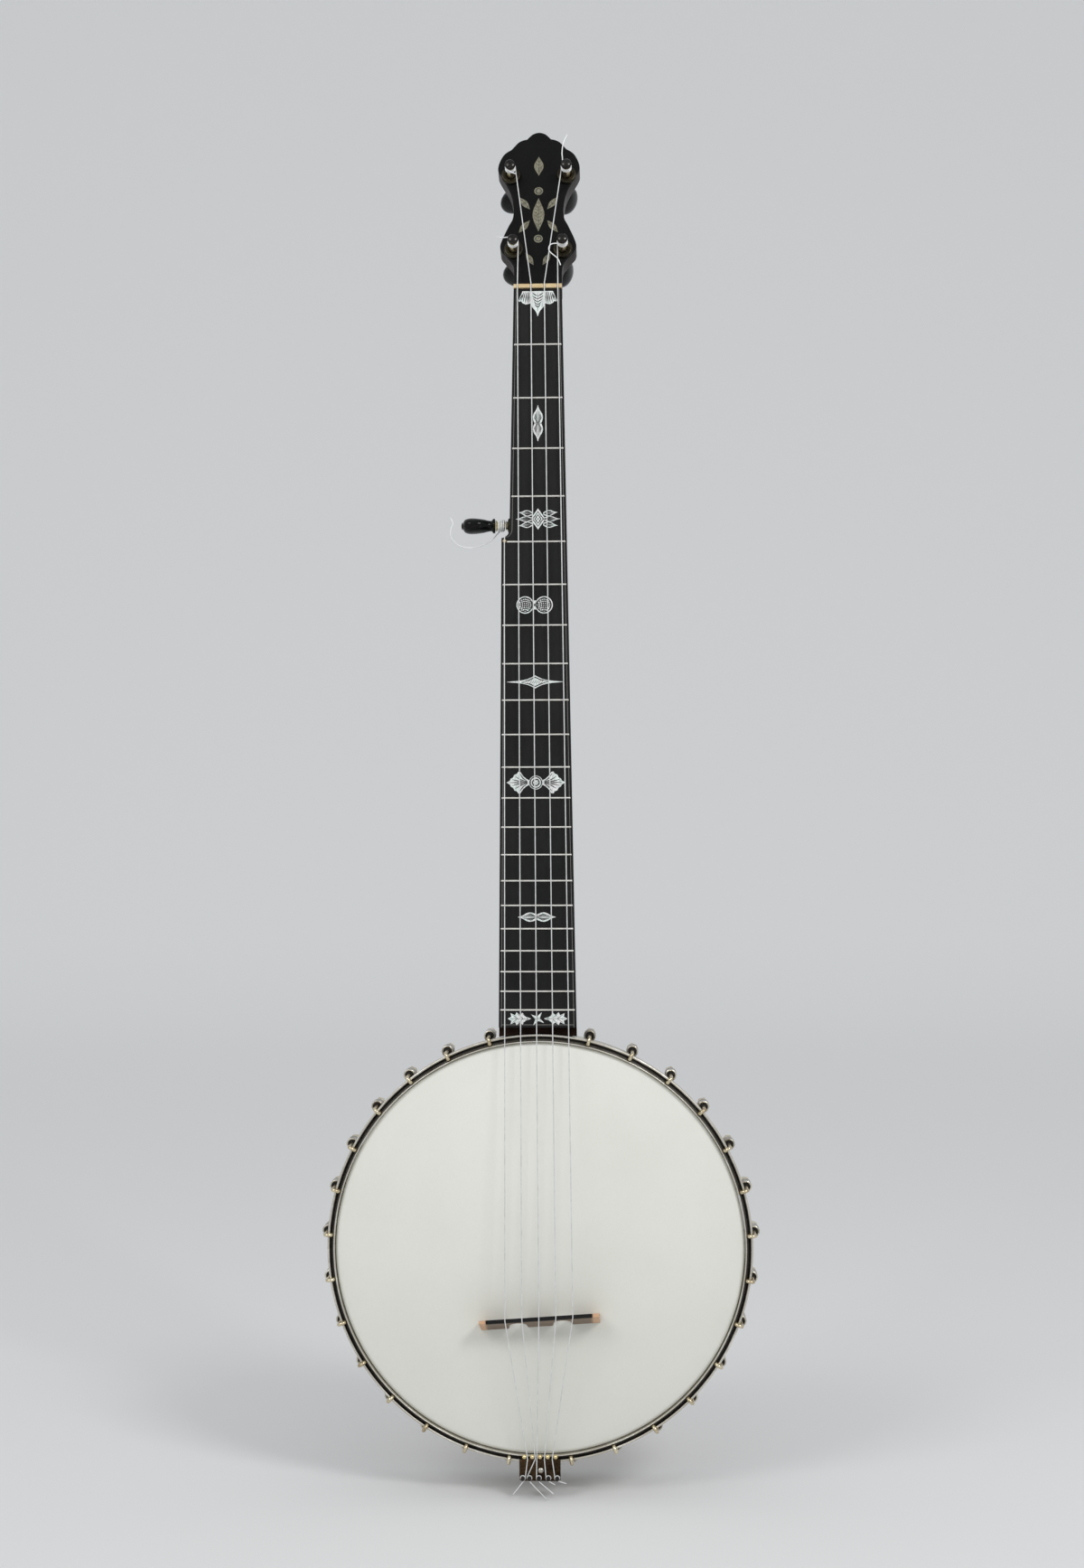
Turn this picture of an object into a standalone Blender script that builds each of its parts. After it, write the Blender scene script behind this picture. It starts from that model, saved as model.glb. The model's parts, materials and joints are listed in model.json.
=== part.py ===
"""Open-back five-string banjo of about 1900, as separate pieces.

Upright: +Z runs up the neck and the head faces -Y. The origin lies between the arms of a wall
hanger, under the shoulders of the peghead, in the plane where the fingerboard meets the neck.
"""

import math

import bmesh
import bpy
from mathutils import Matrix, Vector
from mathutils.geometry import interpolate_bezier

MM = 0.001
GAP = 0.3 * MM                     # between pieces that seat on each other
CUT_OVER = 4 * MM                  # how far a cutter runs past what it cuts

# Neck, in its own frame: distances down from the nut, depths behind the fingerboard's underside
SCALE_LENGTH = 686 * MM
NUT_BELOW_HANGER = 14 * MM
BOARD_END_TO_HOOP = 4.6 * MM
NECK_SET_ANGLE = math.radians(3)
LAST_FRET = 22
NUT_HALF_WIDTH = 16.2 * MM
END_HALF_WIDTH_TREBLE = 24.8 * MM
END_HALF_WIDTH_BASS = 26.2 * MM
STEP_HALF_WIDTH = 24.4 * MM        # bass side, just below the step for the fifth string
STEP_ABOVE_FRET = 2.6 * MM         # from the fifth fret up to the step's corner
STEP_COVE_RADIUS = 6 * MM
NECK_DEPTH_NUT = 14.5 * MM
NECK_DEPTH_MIDDLE = 20 * MM
HEEL_LENGTH = 79 * MM              # from the neck's end up to where it starts to deepen
HEEL_FLAT_LENGTH = 20 * MM         # of its keel
HEEL_DEPTH = 51 * MM
HEEL_KEEL_SHARE = 0.46             # width of the heel's flat, as a share of the neck's width there
HEEL_CAP_THICKNESS = 2.4 * MM
BOARD_THICKNESS = 5 * MM
BOARD_PROUD_OF_HEAD = 3 * MM
STRIP_WIDTH = 1.6 * MM
FRET_WIDTH = 2 * MM
FRET_HEIGHT = 1.3 * MM
NUT_LENGTH = 3.2 * MM
NUT_ABOVE_BOARD = 2 * MM
NUT_STRING_SPACING = 9.05 * MM
NUT_SLOT_DEPTH = 0.6 * MM
PIP_RADIUS = 1.15 * MM
PIP_ABOVE_FRET = 0.5 * MM          # from the fifth fret
PIP_X = -22.3 * MM
PIP_ABOVE_BOARD = 2.2 * MM

# Peghead, in its own frame: distances up from the nut along its face
PEGHEAD_ANGLE = math.radians(13)
PEGHEAD_THICKNESS = 12 * MM
PEGHEAD_LENGTH = 121.8 * MM
PEGHEAD_HALF_WIDTH = 28 * MM
# Its right half from the nut to the middle of the crown, in shares of those two
PEGHEAD_FLARE = [(0.586, 0.127), (0.664, 0.172)]
PEGHEAD_LOBE = [(0.807, 0.215), (0.9, 0.243), (0.923, 0.275), (0.88, 0.312), (0.804, 0.356),
                (0.713, 0.404)]
PEGHEAD_WAIST = [(0.632, 0.443), (0.607, 0.489), (0.618, 0.53)]
PEGHEAD_UPPER_LOBE = [(0.65, 0.576), (0.711, 0.62), (0.8, 0.664), (0.907, 0.709), (0.986, 0.747),
                      (1, 0.772), (0.971, 0.805), (0.893, 0.846), (0.796, 0.872), (0.671, 0.891)]
PEGHEAD_CROWN = [(0.605, 0.91), (0.502, 0.937), (0.389, 0.951), (0.293, 0.956), (0.225, 0.974),
                 (0.139, 0.991), (0, 1)]
UPPER_POST = (0.679, 0.718)        # in the same shares
LOWER_POST = (0.593, 0.246)
OVERLAY_THICKNESS = 1.6 * MM
OVERLAY_START = 4 * MM

# Pot, in its own frame: radii, and depths behind the face of the head
HEAD_THICKNESS = 0.5 * MM
RIM_RADIUS = 133.35 * MM           # outside of the metal sheath
SHEATH_THICKNESS = 0.8 * MM
SHEATH_BEAD = 1.7 * MM
RIM_WALL = 10.5 * MM
RIM_BACK = 60 * MM
TONE_RING_SIDE = 5 * MM
HEAD_BEND = 2.5 * MM               # bevel at the head's edge
SKIN_SKIRT = 9.5 * MM
FLESH_HOOP = 2.6 * MM
HOOP_RIDGE = 1.2 * MM
HOOP_GROOVE = 3.1 * MM
HOOP_LIP = 0.7 * MM
HOOP_ABOVE_HEAD = 2 * MM
HOOP_BOTTOM = 6.2 * MM

# Brackets
BRACKETS_PER_SIDE = 14
FIRST_BRACKET = math.radians(13.6)
BRACKET_PITCH = math.radians(12.15)
HOOK_WIRE = 1.2 * MM               # radius
HOOK_END = 34 * MM                 # depth of the threaded end
SHOE_DEPTH = 19 * MM               # depth of the shoe's middle
SHOE_LENGTH = 10 * MM
SHOE_LEVEL = Matrix.Translation((0, SHOE_DEPTH, 0))
SHOE_RADIUS = 4.2 * MM
STUD_RADIUS = 1.9 * MM
RIM_NUT_WIDTH = 7 * MM
RIM_NUT_HEIGHT = 3 * MM
HOOK_NUT_RADIUS = 3.7 * MM
HOOK_NUT_LENGTH = 12.4 * MM        # long hexagonal nut, closed at the back

# Dowel stick and what holds it
DOWEL_WIDTH = 24 * MM
DOWEL_HEIGHT = 19 * MM
DOWEL_DEPTH = 32 * MM              # depth of its middle
TENON_RADIUS = 8.5 * MM
TENON_SIDES = 12
TENON_INTO_HEEL = 32 * MM
END_BOLT_RADIUS = 3 * MM
END_BOLT_LENGTH = 42 * MM
BRACE_WIDTH = 18 * MM
BRACE_LEG = 34 * MM
BRACE_FOOT = 13 * MM
BRACE_THICKNESS = 2.2 * MM
BRACE_SCREW_RADIUS = 1.8 * MM
BRACE_SCREW_DEPTH = 8 * MM

# Tailpiece
TAILPIECE_HALF_WIDTH = 13.4 * MM
TAILPIECE_FRONT = 0.2 * MM         # from the rim out to its front edge
TAILPIECE_LENGTH = 15.2 * MM
TAILPIECE_THICKNESS = 1.6 * MM
TAILPIECE_LIFT = 5 * MM            # its underside stands this far in front of the head
TAIL_SKIRT = 6 * MM
TAIL_SKIRT_THICKNESS = 1.6 * MM
TAIL_ANGLE_WIDTH = 14 * MM         # sheet-brass angle under the end bolt
TAIL_ANGLE_THICKNESS = 2.2 * MM
TAIL_SHELF_DEPTH = 18 * MM
FINGER_SPACING = 5.05 * MM
FINGER_SLOT = 2.4 * MM
FINGER_LENGTH = 2.2 * MM
FINGER_BEAD = 1.4 * MM
HITCH_RADIUS = 0.9 * MM
HITCH_HEIGHT = 3.6 * MM
HITCH_X = [11.2, 5.5, -0.7, -6.8, -11.1]            # in mm, first string to fifth
HITCH_INSET = 1.7 * MM             # from the tailpiece's back edge
TAIL_BOLT_INSET = 6.4 * MM
TAIL_SHELF_MARGIN = 4 * MM         # past the middle of the bolt
TAIL_LEG = 9 * MM                  # past the middle of the end bolt
TAIL_BOLT_X = 0.6 * MM
TAIL_BOLT_RADIUS = 1.5 * MM

# Bridge and strings
BRIDGE_SHORT_OF_SCALE = 6 * MM
BRIDGE_HEIGHT = 17 * MM
BRIDGE_HALF_LENGTH = 39 * MM
BRIDGE_CAP_HALF_LENGTH = 34.3 * MM
BRIDGE_CAP_HEIGHT = 1.6 * MM
BRIDGE_END_BELOW_CAP = 0.2 * MM    # its ends stand beside the cap
BRIDGE_FOOT_THICKNESS = 6.2 * MM
BRIDGE_TOP_THICKNESS = 2.4 * MM
BRIDGE_LEAN = math.radians(12.6)   # of its face towards the neck
BRIDGE_TURN = math.radians(3.9)
BRIDGE_ARCH = (8.2 * MM, 20.6 * MM)
BRIDGE_ARCH_HEIGHT = 13.4 * MM
BRIDGE_STRING_SPACING = 11 * MM
STRING_RADIUS = 0.35 * MM
TAIL_STRING_X = [8, 2.9, -2, -3, -8]                # in mm, first to fifth, at the front edge

# Pegs. Heights are measured from the face that the post stands on
POST_BARREL = 2.7 * MM
POST_SHAFT = 3 * MM
POST_HEIGHT = 16 * MM
POST_TIP = 3.7 * MM
FERRULE_RADIUS = 6.8 * MM
FERRULE_HEIGHT = 2.2 * MM
COLLAR_HEIGHT = 1.5 * MM           # ferrule of the fifth peg
PEG_SIDES = 8
KNOB_LENGTH = 27 * MM
KNOB_TENON = 1.7 * MM              # radius of the post's end inside its knob
KNOB_WAIST = 3.6 * MM
KNOB_COLLAR = 5 * MM
KNOB_SHAPE = (9 * MM, 5.2 * MM)    # half widths
KNOB_TURNS = [math.radians(turn) for turn in (55, 50, 10, 0, 90)]   # as last tuned
FIFTH_PEG_ABOVE_FRET = 12.6 * MM   # from the fifth fret
FIFTH_PEG_DEPTH = 4.6 * MM
FIFTH_SHAFT_IN_NECK = 14 * MM
FIFTH_KNOB_START = 10 * MM
FIFTH_KNOB_LENGTH = 21.5 * MM
WINDING_PITCH = 1.15 * MM
WINDING_POINTS = 8                 # to a turn

# For each string: way round the post (1 is clockwise from its tip), height of the string on the
# post, whole turns of the winding, and the direction in degrees in which its tail leaves
WRAP_SWEEP = math.radians(144)
WINDINGS = [(1, 7.4 * MM, 3, 180), (1, 7.8 * MM, 3, 80), (-1, 7.8 * MM, 3, -45), (-1, 7.4 * MM, 3, 195),
            (-1, 2.7 * MM, 4, 180)]
# Bends of the free ends in mm, from where they leave the winding and from the hitch's turn
TAILS = [[(-4, 0.4, 0.5), (-8, -1, 1), (-8.6, -6, 1.6), (-3, -12, 2), (-1, -17, 2)],
         [(0.8, 4, 0.3), (0.8, 9, 0.8), (2.6, 16.5, 1.6)],
         [(2.2, -2, 0.3), (4.4, -3.6, 0.6), (6.6, -4.6, 0.9)],
         [(-3.4, -0.7, 0.3), (-6.6, -1, 0.6), (-9.6, -0.6, 0.9)],
         [(-4.5, 0.2, 1), (-9.6, -0.4, 5), (-13.2, -1, 13), (-14, -1, 21), (-11.5, -0.6, 27.5),
          (-6.5, 0, 31.6), (-1.5, 0.6, 32), (3, 1, 30.6), (7, 1, 32.4)]]
HITCH_SWEEP = math.radians(396)
TAGS = [(7.1, -1.4, -1.8), (5.6, -1.6, -2.6), (10.7, -2.4, -8.2), (12.8, -1, -12.9), (-7.4, -1.4, -9.1)]


def clear_scene():
    for old in list(bpy.data.objects):
        bpy.data.objects.remove(old, do_unlink=True)


def make_material(name, colour, metallic, roughness):
    material = bpy.data.materials.new(name)
    material.use_nodes = True
    shader = material.node_tree.nodes["Principled BSDF"]
    shader.inputs["Base Color"].default_value = (*colour, 1)
    shader.inputs["Metallic"].default_value = metallic
    shader.inputs["Roughness"].default_value = roughness
    return material


FINISHES = {
    "neck_wood": ((0.03, 0.018, 0.013), 0, 0.35),
    "ebony": ((0.02, 0.018, 0.016), 0, 0.35),
    "nickel_silver": ((0.62, 0.6, 0.52), 1, 0.3),
    "brass": ((0.6, 0.45, 0.22), 1, 0.35),
    "bone": ((0.75, 0.66, 0.42), 0, 0.45),
    "maple": ((0.55, 0.35, 0.16), 0, 0.45),
    "skin": ((0.82, 0.82, 0.76), 0, 0.6),
    "gut": ((0.85, 0.85, 0.82), 0, 0.4),
    "black_knob": ((0.015, 0.015, 0.015), 0, 0.2),
    "dark_steel": ((0.2, 0.18, 0.16), 1, 0.45),
}


def finish_material(finish):
    found = bpy.data.materials.get(finish)
    return found or make_material(finish, *FINISHES[finish])


def make_frame(name, matrix):
    frame = bpy.data.objects.new(name, None)
    bpy.context.collection.objects.link(frame)
    frame.matrix_world = matrix
    return frame


def add_piece(name, bm, finish, frame=None, smooth=True):
    """A closed bmesh becomes a named object in the frame of its parent empty."""
    bmesh.ops.recalc_face_normals(bm, faces=bm.faces)
    mesh = bpy.data.meshes.new(name)
    bm.to_mesh(mesh)
    bm.free()
    if smooth:
        mesh.shade_smooth()
        mesh.set_sharp_from_angle(angle=math.radians(40))
    piece = bpy.data.objects.new(name, mesh)
    bpy.context.collection.objects.link(piece)
    piece.data.materials.append(finish_material(finish))
    piece.parent = frame
    return piece


def boolean(piece, bm, operation="DIFFERENCE", frame=None):
    """Cut a shape from a piece, or join it on, with a hidden operand."""
    operand = add_piece(f"{piece.name}_operand_{len(piece.modifiers)}", bm, "ebony", frame, False)
    operand.hide_render = True
    operand.display_type = "WIRE"
    modifier = piece.modifiers.new(operation.lower(), "BOOLEAN")
    modifier.operation = operation
    modifier.solver = "EXACT"
    modifier.object = operand
    return operand


def ring_faces(bm, loops, closed):
    """Quads between vertex loops of one length; closed joins the last loop to the first."""
    pairs = list(zip(loops, loops[1:]))
    if closed:
        pairs.append((loops[-1], loops[0]))
    for first, second in pairs:
        count = len(first)
        for i in range(count):
            j = (i + 1) % count
            bm.faces.new((first[i], first[j], second[j], second[i]))


def loft(bm, sections):
    """Join cross-sections, given as lists of points, and close both ends."""
    loops = [[bm.verts.new(point) for point in section] for section in sections]
    ring_faces(bm, loops, False)
    bm.faces.new(loops[0])
    bm.faces.new(loops[-1])


def prism(bm, outline, low, high, place=lambda a, b, h: (a, h, b)):
    """Extrude an outline of (a, b) points from height low to height high."""
    loft(bm, [[place(a, b, h) for a, b in outline] for h in (low, high)])


def box(bm, low, high, matrix=Matrix()):
    corners = [(low[0], low[2]), (high[0], low[2]), (high[0], high[2]), (low[0], high[2])]
    prism(bm, corners, low[1], high[1], lambda a, b, h: matrix @ Vector((a, h, b)))


def even_angles(count):
    return [2 * math.pi * i / count for i in range(count)]


def turned(bm, profile, count, matrix=Matrix(), tube=False):
    """Turn a profile about Z. Its points are (radius, height) or (radius x, radius y, height).

    A tube's profile is a closed loop round its wall. Any other runs from end to end.
    """
    loops = []
    for point in profile:
        rx, ry, height = point if len(point) == 3 else (point[0], point[0], point[1])
        loops.append([bm.verts.new(matrix @ Vector((rx * math.cos(a), ry * math.sin(a), height)))
                      for a in even_angles(count)])
    ring_faces(bm, loops, tube)
    if not tube:
        bm.faces.new(loops[0])
        bm.faces.new(loops[-1])


def cylinder(bm, radius, low, high, count=12, matrix=Matrix()):
    turned(bm, [(radius, low), (radius, high)], count, matrix)


def arc(centre, radius, start, end, steps):
    """Points of an arc, angles in degrees."""
    angles = [math.radians(start + (end - start) * i / steps) for i in range(steps + 1)]
    return [(centre[0] + radius * math.cos(a), centre[1] + radius * math.sin(a)) for a in angles]


def smooth_step(value):
    value = min(1, max(0, value))
    return value * value * (3 - 2 * value)


def opened(radius, count):
    """Corner radius of a bore whose flats lie a gap outside a bar with as many sides."""
    return radius + GAP / math.cos(math.pi / count)


def turning(radius, count):
    """Corner radius of a bore in which the bar turns freely."""
    return (radius + GAP) / math.cos(math.pi / count)


# Frames of the neck, the peghead and the pot

nut_matrix = Matrix.Rotation(-NECK_SET_ANGLE, 4, "X") @ Matrix.Translation((0, 0, -NUT_BELOW_HANGER))
peghead_matrix = nut_matrix @ Matrix.Rotation(-PEGHEAD_ANGLE, 4, "X")

# The pot's radii and depths follow from the rim outwards and from the head backwards
FACET = BRACKET_PITCH / 2          # of the pot's rings
flat = math.cos(FACET / 2)
wood_radius = RIM_RADIUS - SHEATH_THICKNESS - GAP
wood_inner = wood_radius - RIM_WALL
skin_inner = RIM_RADIUS + GAP
skin_outer = skin_inner + HEAD_THICKNESS
hoop_inner = skin_outer + GAP
hoop_outer = hoop_inner + HOOP_RIDGE + HOOP_GROOVE + HOOP_LIP
tone_top = HEAD_THICKNESS + GAP
rim_top = tone_top + TONE_RING_SIDE + GAP
hook_circle = hoop_outer + GAP + HOOK_WIRE
groove_floor = 1.6 * MM
lip_depth = -0.2 * MM
heel_end = RIM_RADIUS + GAP
overlay_face = -GAP - OVERLAY_THICKNESS
tailpiece_front = RIM_RADIUS + TAILPIECE_FRONT
tailpiece_back = tailpiece_front + TAILPIECE_LENGTH
tail_bolt_circle = tailpiece_back - TAIL_BOLT_INSET


def fret_from_nut(number):
    return SCALE_LENGTH * (1 - 2 ** (-number / 12))


# Places along the neck, from the nut
board_end = fret_from_nut(LAST_FRET)
nut_to_pot = board_end + BOARD_END_TO_HOOP + hoop_outer
heel_start = nut_to_pot - heel_end - HEEL_LENGTH
heel_flat_start = nut_to_pot - heel_end - HEEL_FLAT_LENGTH
step_corner = fret_from_nut(5) - STEP_ABOVE_FRET
pip_from_nut = fret_from_nut(5) - PIP_ABOVE_FRET
fifth_peg_from_nut = fret_from_nut(5) - FIFTH_PEG_ABOVE_FRET
board_face_end = nut_matrix @ Vector((0, -BOARD_THICKNESS, -board_end))
pot_centre = nut_matrix @ Vector((0, 0, -nut_to_pot))
pot_matrix = Matrix.Translation((0, board_face_end.y + BOARD_PROUD_OF_HEAD, pot_centre.z))
dowel_matrix = Matrix.Translation((0, DOWEL_DEPTH, 0))       # its axis, in the pot's frame


def pot_stations():
    """Angles from the neck where the pot's rings have a corner: each bracket faces a flat."""
    right = []
    for k in range(BRACKETS_PER_SIDE):
        angle = FIRST_BRACKET + k * BRACKET_PITCH
        right += [angle - FACET / 2, angle + FACET / 2]
    left = [-a for a in reversed(right)]
    neck_gap = 2 * right[0]
    neck = [left[-1] + neck_gap * i / 3 for i in (1, 2)]
    return neck[1:] + right + [math.pi] + left + neck[:1]


def bracket_angles():
    right = [FIRST_BRACKET + k * BRACKET_PITCH for k in range(BRACKETS_PER_SIDE)]
    return right + [-a for a in right]


def pot_loops(bm, profile, angles):
    """Vertex loops about the pot's axis, one for each (radius, depth) of the profile."""
    loops = []
    for r, d in profile:
        loops.append([bm.verts.new((r * math.sin(a), d, r * math.cos(a))) for a in angles])
    return loops


def pot_ring(bm, profile, angles):
    """Turn a closed profile about the pot's axis."""
    ring_faces(bm, pot_loops(bm, profile, angles), True)


def outwards(angle):
    """In the pot's frame, Z of a turned piece points outwards at the angle and Y to the back."""
    return Matrix.Rotation(angle, 4, "Y")


def to_back(radius, angle, x=0):
    """In the pot's frame, the axis of a turned piece runs to the back at a radius and an angle."""
    place = Matrix.Translation((x, 0, radius)) @ Matrix.Rotation(-math.pi / 2, 4, "X")
    return outwards(angle) @ place


def standing(x, y, z):
    """The axis of a turned piece points out of a front face."""
    return Matrix.Translation((x, y, z)) @ Matrix.Rotation(math.pi / 2, 4, "X")


# Neck

def half_width_treble(s):
    return NUT_HALF_WIDTH + (END_HALF_WIDTH_TREBLE - NUT_HALF_WIDTH) * s / board_end


def half_width_bass(s):
    """Follows the treble side down to the cove, then the wider edge under the fifth string."""
    cove_start = step_corner - STEP_COVE_RADIUS
    if s <= cove_start:
        return half_width_treble(s)
    if s < step_corner:
        depth = STEP_COVE_RADIUS - math.sqrt(STEP_COVE_RADIUS ** 2 - (s - cove_start) ** 2)
        return min(STEP_HALF_WIDTH, half_width_treble(cove_start) + depth)
    run = (s - step_corner) / (board_end - step_corner)
    return STEP_HALF_WIDTH + (END_HALF_WIDTH_BASS - STEP_HALF_WIDTH) * run


def cove_stations():
    cove_start = step_corner - STEP_COVE_RADIUS
    reach = STEP_HALF_WIDTH - half_width_treble(cove_start)
    last = math.acos(1 - reach / STEP_COVE_RADIUS)
    return [cove_start + STEP_COVE_RADIUS * math.sin(last * i / 4) for i in range(4)]


def board_outline(start, end, inset):
    """The fingerboard's edge, as (x, z) below the nut, with its two treble corners last."""
    stations = [start] + cove_stations() + [step_corner, end]
    bass = [(-half_width_bass(s) + inset, -s) for s in stations]
    return bass + [(half_width_treble(s) - inset, -s) for s in (end, start)]


def heel_share(s):
    return smooth_step((s - heel_start) / (heel_flat_start - heel_start))


def neck_depth(s):
    shaft = NECK_DEPTH_NUT + (NECK_DEPTH_MIDDLE - NECK_DEPTH_NUT) * min(1, s / heel_start)
    return shaft + (HEEL_DEPTH - shaft) * heel_share(s)


def neck_section(s, shrink=1):
    """Flat in front and round behind; towards the heel the back narrows to a flat keel."""
    right, left = [], []
    for level in (0, 0.24, 0.52, 0.8, 1):
        shaft = math.sqrt(1 - level ** 2.3) * 0.92 + 0.08
        heel = 1 - (1 - HEEL_KEEL_SHARE) * level ** 0.8
        share = (shaft + (heel - shaft) * heel_share(s)) * shrink
        right.append((half_width_treble(s) * share, neck_depth(s) * level, -s))
        left.append((-half_width_bass(s) * share, neck_depth(s) * level, -s))
    return right + left[::-1]


def peghead_outline(start):
    """Two lobes a side, a waist, and three small lobes on top; (x, z) above the nut."""
    shares = PEGHEAD_FLARE + PEGHEAD_LOBE + PEGHEAD_WAIST + PEGHEAD_UPPER_LOBE + PEGHEAD_CROWN
    right = [(x * PEGHEAD_HALF_WIDTH, z * PEGHEAD_LENGTH) for x, z in shares]
    flare = right[0]
    share = start / flare[1]
    right.insert(0, (NUT_HALF_WIDTH + (flare[0] - NUT_HALF_WIDTH) * share, start))
    return right + [(-x, z) for x, z in reversed(right[:-1])]


def build_neck(neck, peghead, pot):
    bm = bmesh.new()
    cove = cove_stations()
    stations = [0, cove[0] / 2] + cove + [step_corner, (step_corner + heel_start) / 2, heel_start]
    stations += [heel_start + (heel_flat_start - heel_start) * i / 5 for i in range(1, 6)]
    stations.append(nut_to_pot - wood_inner)
    top = [(x, y * 0.86, NUT_LENGTH + 0.1 * MM) for x, y, z in neck_section(0, 0.955)]
    loft(bm, [top] + [neck_section(s) for s in stations])
    piece = add_piece("neck", bm, "neck_wood", neck)
    bm = bmesh.new()
    prism(bm, peghead_outline(-0.5 * MM), 0, PEGHEAD_THICKNESS)
    boolean(piece, bm, "UNION", peghead)

    # The heel's end follows the rim, and in front of the rim it clears the tension hoop
    bm = bmesh.new()
    front, back = -HOOP_ABOVE_HEAD - 3 * CUT_OVER, RIM_BACK + CUT_OVER
    hoop_end = HOOP_BOTTOM + FLESH_HOOP + 3 * GAP
    profile = [(RIM_WALL, front), (hoop_outer + 2 * GAP, front), (hoop_outer + 2 * GAP, hoop_end),
               (heel_end, hoop_end), (heel_end, back), (RIM_WALL, back)]
    pot_ring(bm, profile, even_angles(90))
    boolean(piece, bm, frame=pot)

    # Bores for the four pegs, the fifth peg and the dowel's tenon
    bm = bmesh.new()
    bore = turning(POST_SHAFT, PEG_SIDES)
    for x, z in post_places():
        cylinder(bm, bore, -PEGHEAD_THICKNESS - CUT_OVER, CUT_OVER, PEG_SIDES, post_matrix(x, z))
    cylinder(bm, bore, -FIFTH_SHAFT_IN_NECK - GAP, CUT_OVER, PEG_SIDES, fifth_matrix())
    boolean(piece, bm)
    bm = bmesh.new()
    tenon_end = RIM_RADIUS + TENON_INTO_HEEL + GAP
    cylinder(bm, opened(TENON_RADIUS, TENON_SIDES), wood_inner, tenon_end, TENON_SIDES, dowel_matrix)
    boolean(piece, bm, frame=pot)


def build_heel_cap(neck, pot):
    bm = bmesh.new()
    outline = []
    stations = (heel_flat_start + 2 * MM, nut_to_pot - wood_inner)
    for s in stations:
        outline.append((-half_width_bass(s) * HEEL_KEEL_SHARE, -s))
    for s in reversed(stations):
        outline.append((half_width_treble(s) * HEEL_KEEL_SHARE, -s))
    prism(bm, outline, HEEL_DEPTH + GAP, HEEL_DEPTH + GAP + HEEL_CAP_THICKNESS)
    piece = add_piece("heel_cap", bm, "ebony", neck)
    bm = bmesh.new()
    cylinder(bm, heel_end, -RIM_BACK, 2 * RIM_BACK, 90, to_back(0, 0))
    boolean(piece, bm, frame=pot)


def build_overlay(peghead):
    bm = bmesh.new()
    prism(bm, peghead_outline(OVERLAY_START), overlay_face, -GAP)
    piece = add_piece("peghead_overlay", bm, "ebony", peghead)
    bm = bmesh.new()
    for x, z in post_places():
        cylinder(bm, turning(POST_SHAFT, PEG_SIDES), -CUT_OVER, CUT_OVER, PEG_SIDES, post_matrix(x, z))
    boolean(piece, bm)


# Fingerboard, frets and nut

def build_fingerboard(neck):
    face = -BOARD_THICKNESS
    inset = STRIP_WIDTH + GAP
    bm = bmesh.new()
    prism(bm, board_outline(GAP, board_end, inset), face, -GAP)
    board = add_piece("fingerboard", bm, "ebony", neck, smooth=False)

    # The frets are driven into the board and stop short of its edges
    bm = bmesh.new()
    half, top = FRET_WIDTH / 2, face - FRET_HEIGHT
    tang = face + 1 * MM
    profile = [(half, tang), (half, face - 0.2 * FRET_HEIGHT), (0.4 * half, top), (-0.4 * half, top),
               (-half, face - 0.2 * FRET_HEIGHT), (-half, tang)]
    for number in range(1, LAST_FRET):
        s = fret_from_nut(number)
        bass = -half_width_bass(s + half) + inset + GAP
        if number == 5:
            bass = PIP_X + PIP_RADIUS + GAP
        treble = half_width_treble(s) - inset - GAP
        loft(bm, [[(x, y, a - s) for a, y in profile] for x in (bass, treble)])
    boolean(board, bm, "UNION", neck)

    outer = board_outline(GAP, board_end, 0)
    inner = board_outline(GAP, board_end, STRIP_WIDTH)
    for side, corners in (("bass", slice(0, -2)), ("treble", slice(-2, None))):
        bm = bmesh.new()
        prism(bm, outer[corners] + inner[corners][::-1], face, -GAP)
        add_piece(f"{side}_side_strip", bm, "ebony", neck, smooth=False)


def nut_string_x(number):
    """Across the nut, first string to fourth, from the treble side."""
    return (2.5 - number) * NUT_STRING_SPACING


def build_nut(neck):
    front = -BOARD_THICKNESS - NUT_ABOVE_BOARD
    profile = [(0, -GAP), (NUT_LENGTH, -GAP), (NUT_LENGTH, front + 2 * MM),
               (0.5 * NUT_LENGTH, front + 0.3 * MM), (0, front)]
    bm = bmesh.new()
    loft(bm, [[(x, y, a) for a, y in profile] for x in (-NUT_HALF_WIDTH, NUT_HALF_WIDTH)])
    piece = add_piece("nut", bm, "bone", neck, smooth=False)
    bm = bmesh.new()
    half, floor = STRING_RADIUS + GAP, front + NUT_SLOT_DEPTH
    for number in range(1, 5):
        x = nut_string_x(number)
        box(bm, (x - half, front - CUT_OVER, -CUT_OVER), (x + half, floor, NUT_LENGTH + CUT_OVER))
    boolean(piece, bm, frame=neck)

    bm = bmesh.new()
    tip = PIP_ABOVE_BOARD
    turned(bm, [(PIP_RADIUS, GAP), (PIP_RADIUS, 0.6 * tip), (0.55 * PIP_RADIUS, tip)], 8,
           standing(PIP_X, -BOARD_THICKNESS, -pip_from_nut))
    add_piece("fifth_string_pip", bm, "bone", neck)


# Pegs

def post_places():
    """Across and up the peghead, for strings one to four."""
    lower, upper = [(x * PEGHEAD_HALF_WIDTH, z * PEGHEAD_LENGTH) for x, z in (LOWER_POST, UPPER_POST)]
    return [lower, upper, (-upper[0], upper[1]), (-lower[0], lower[1])]


def post_matrix(x, z):
    """On the overlay's face, with Z out of the peghead's front."""
    return peghead_matrix @ standing(x, overlay_face, z)


def fifth_matrix():
    """On the bass side of the neck, with Z out to the side."""
    s = fifth_peg_from_nut
    place = Matrix.Translation((-half_width_treble(s), FIFTH_PEG_DEPTH, -s))
    return nut_matrix @ place @ Matrix.Rotation(-math.pi / 2, 4, "Y")


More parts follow.
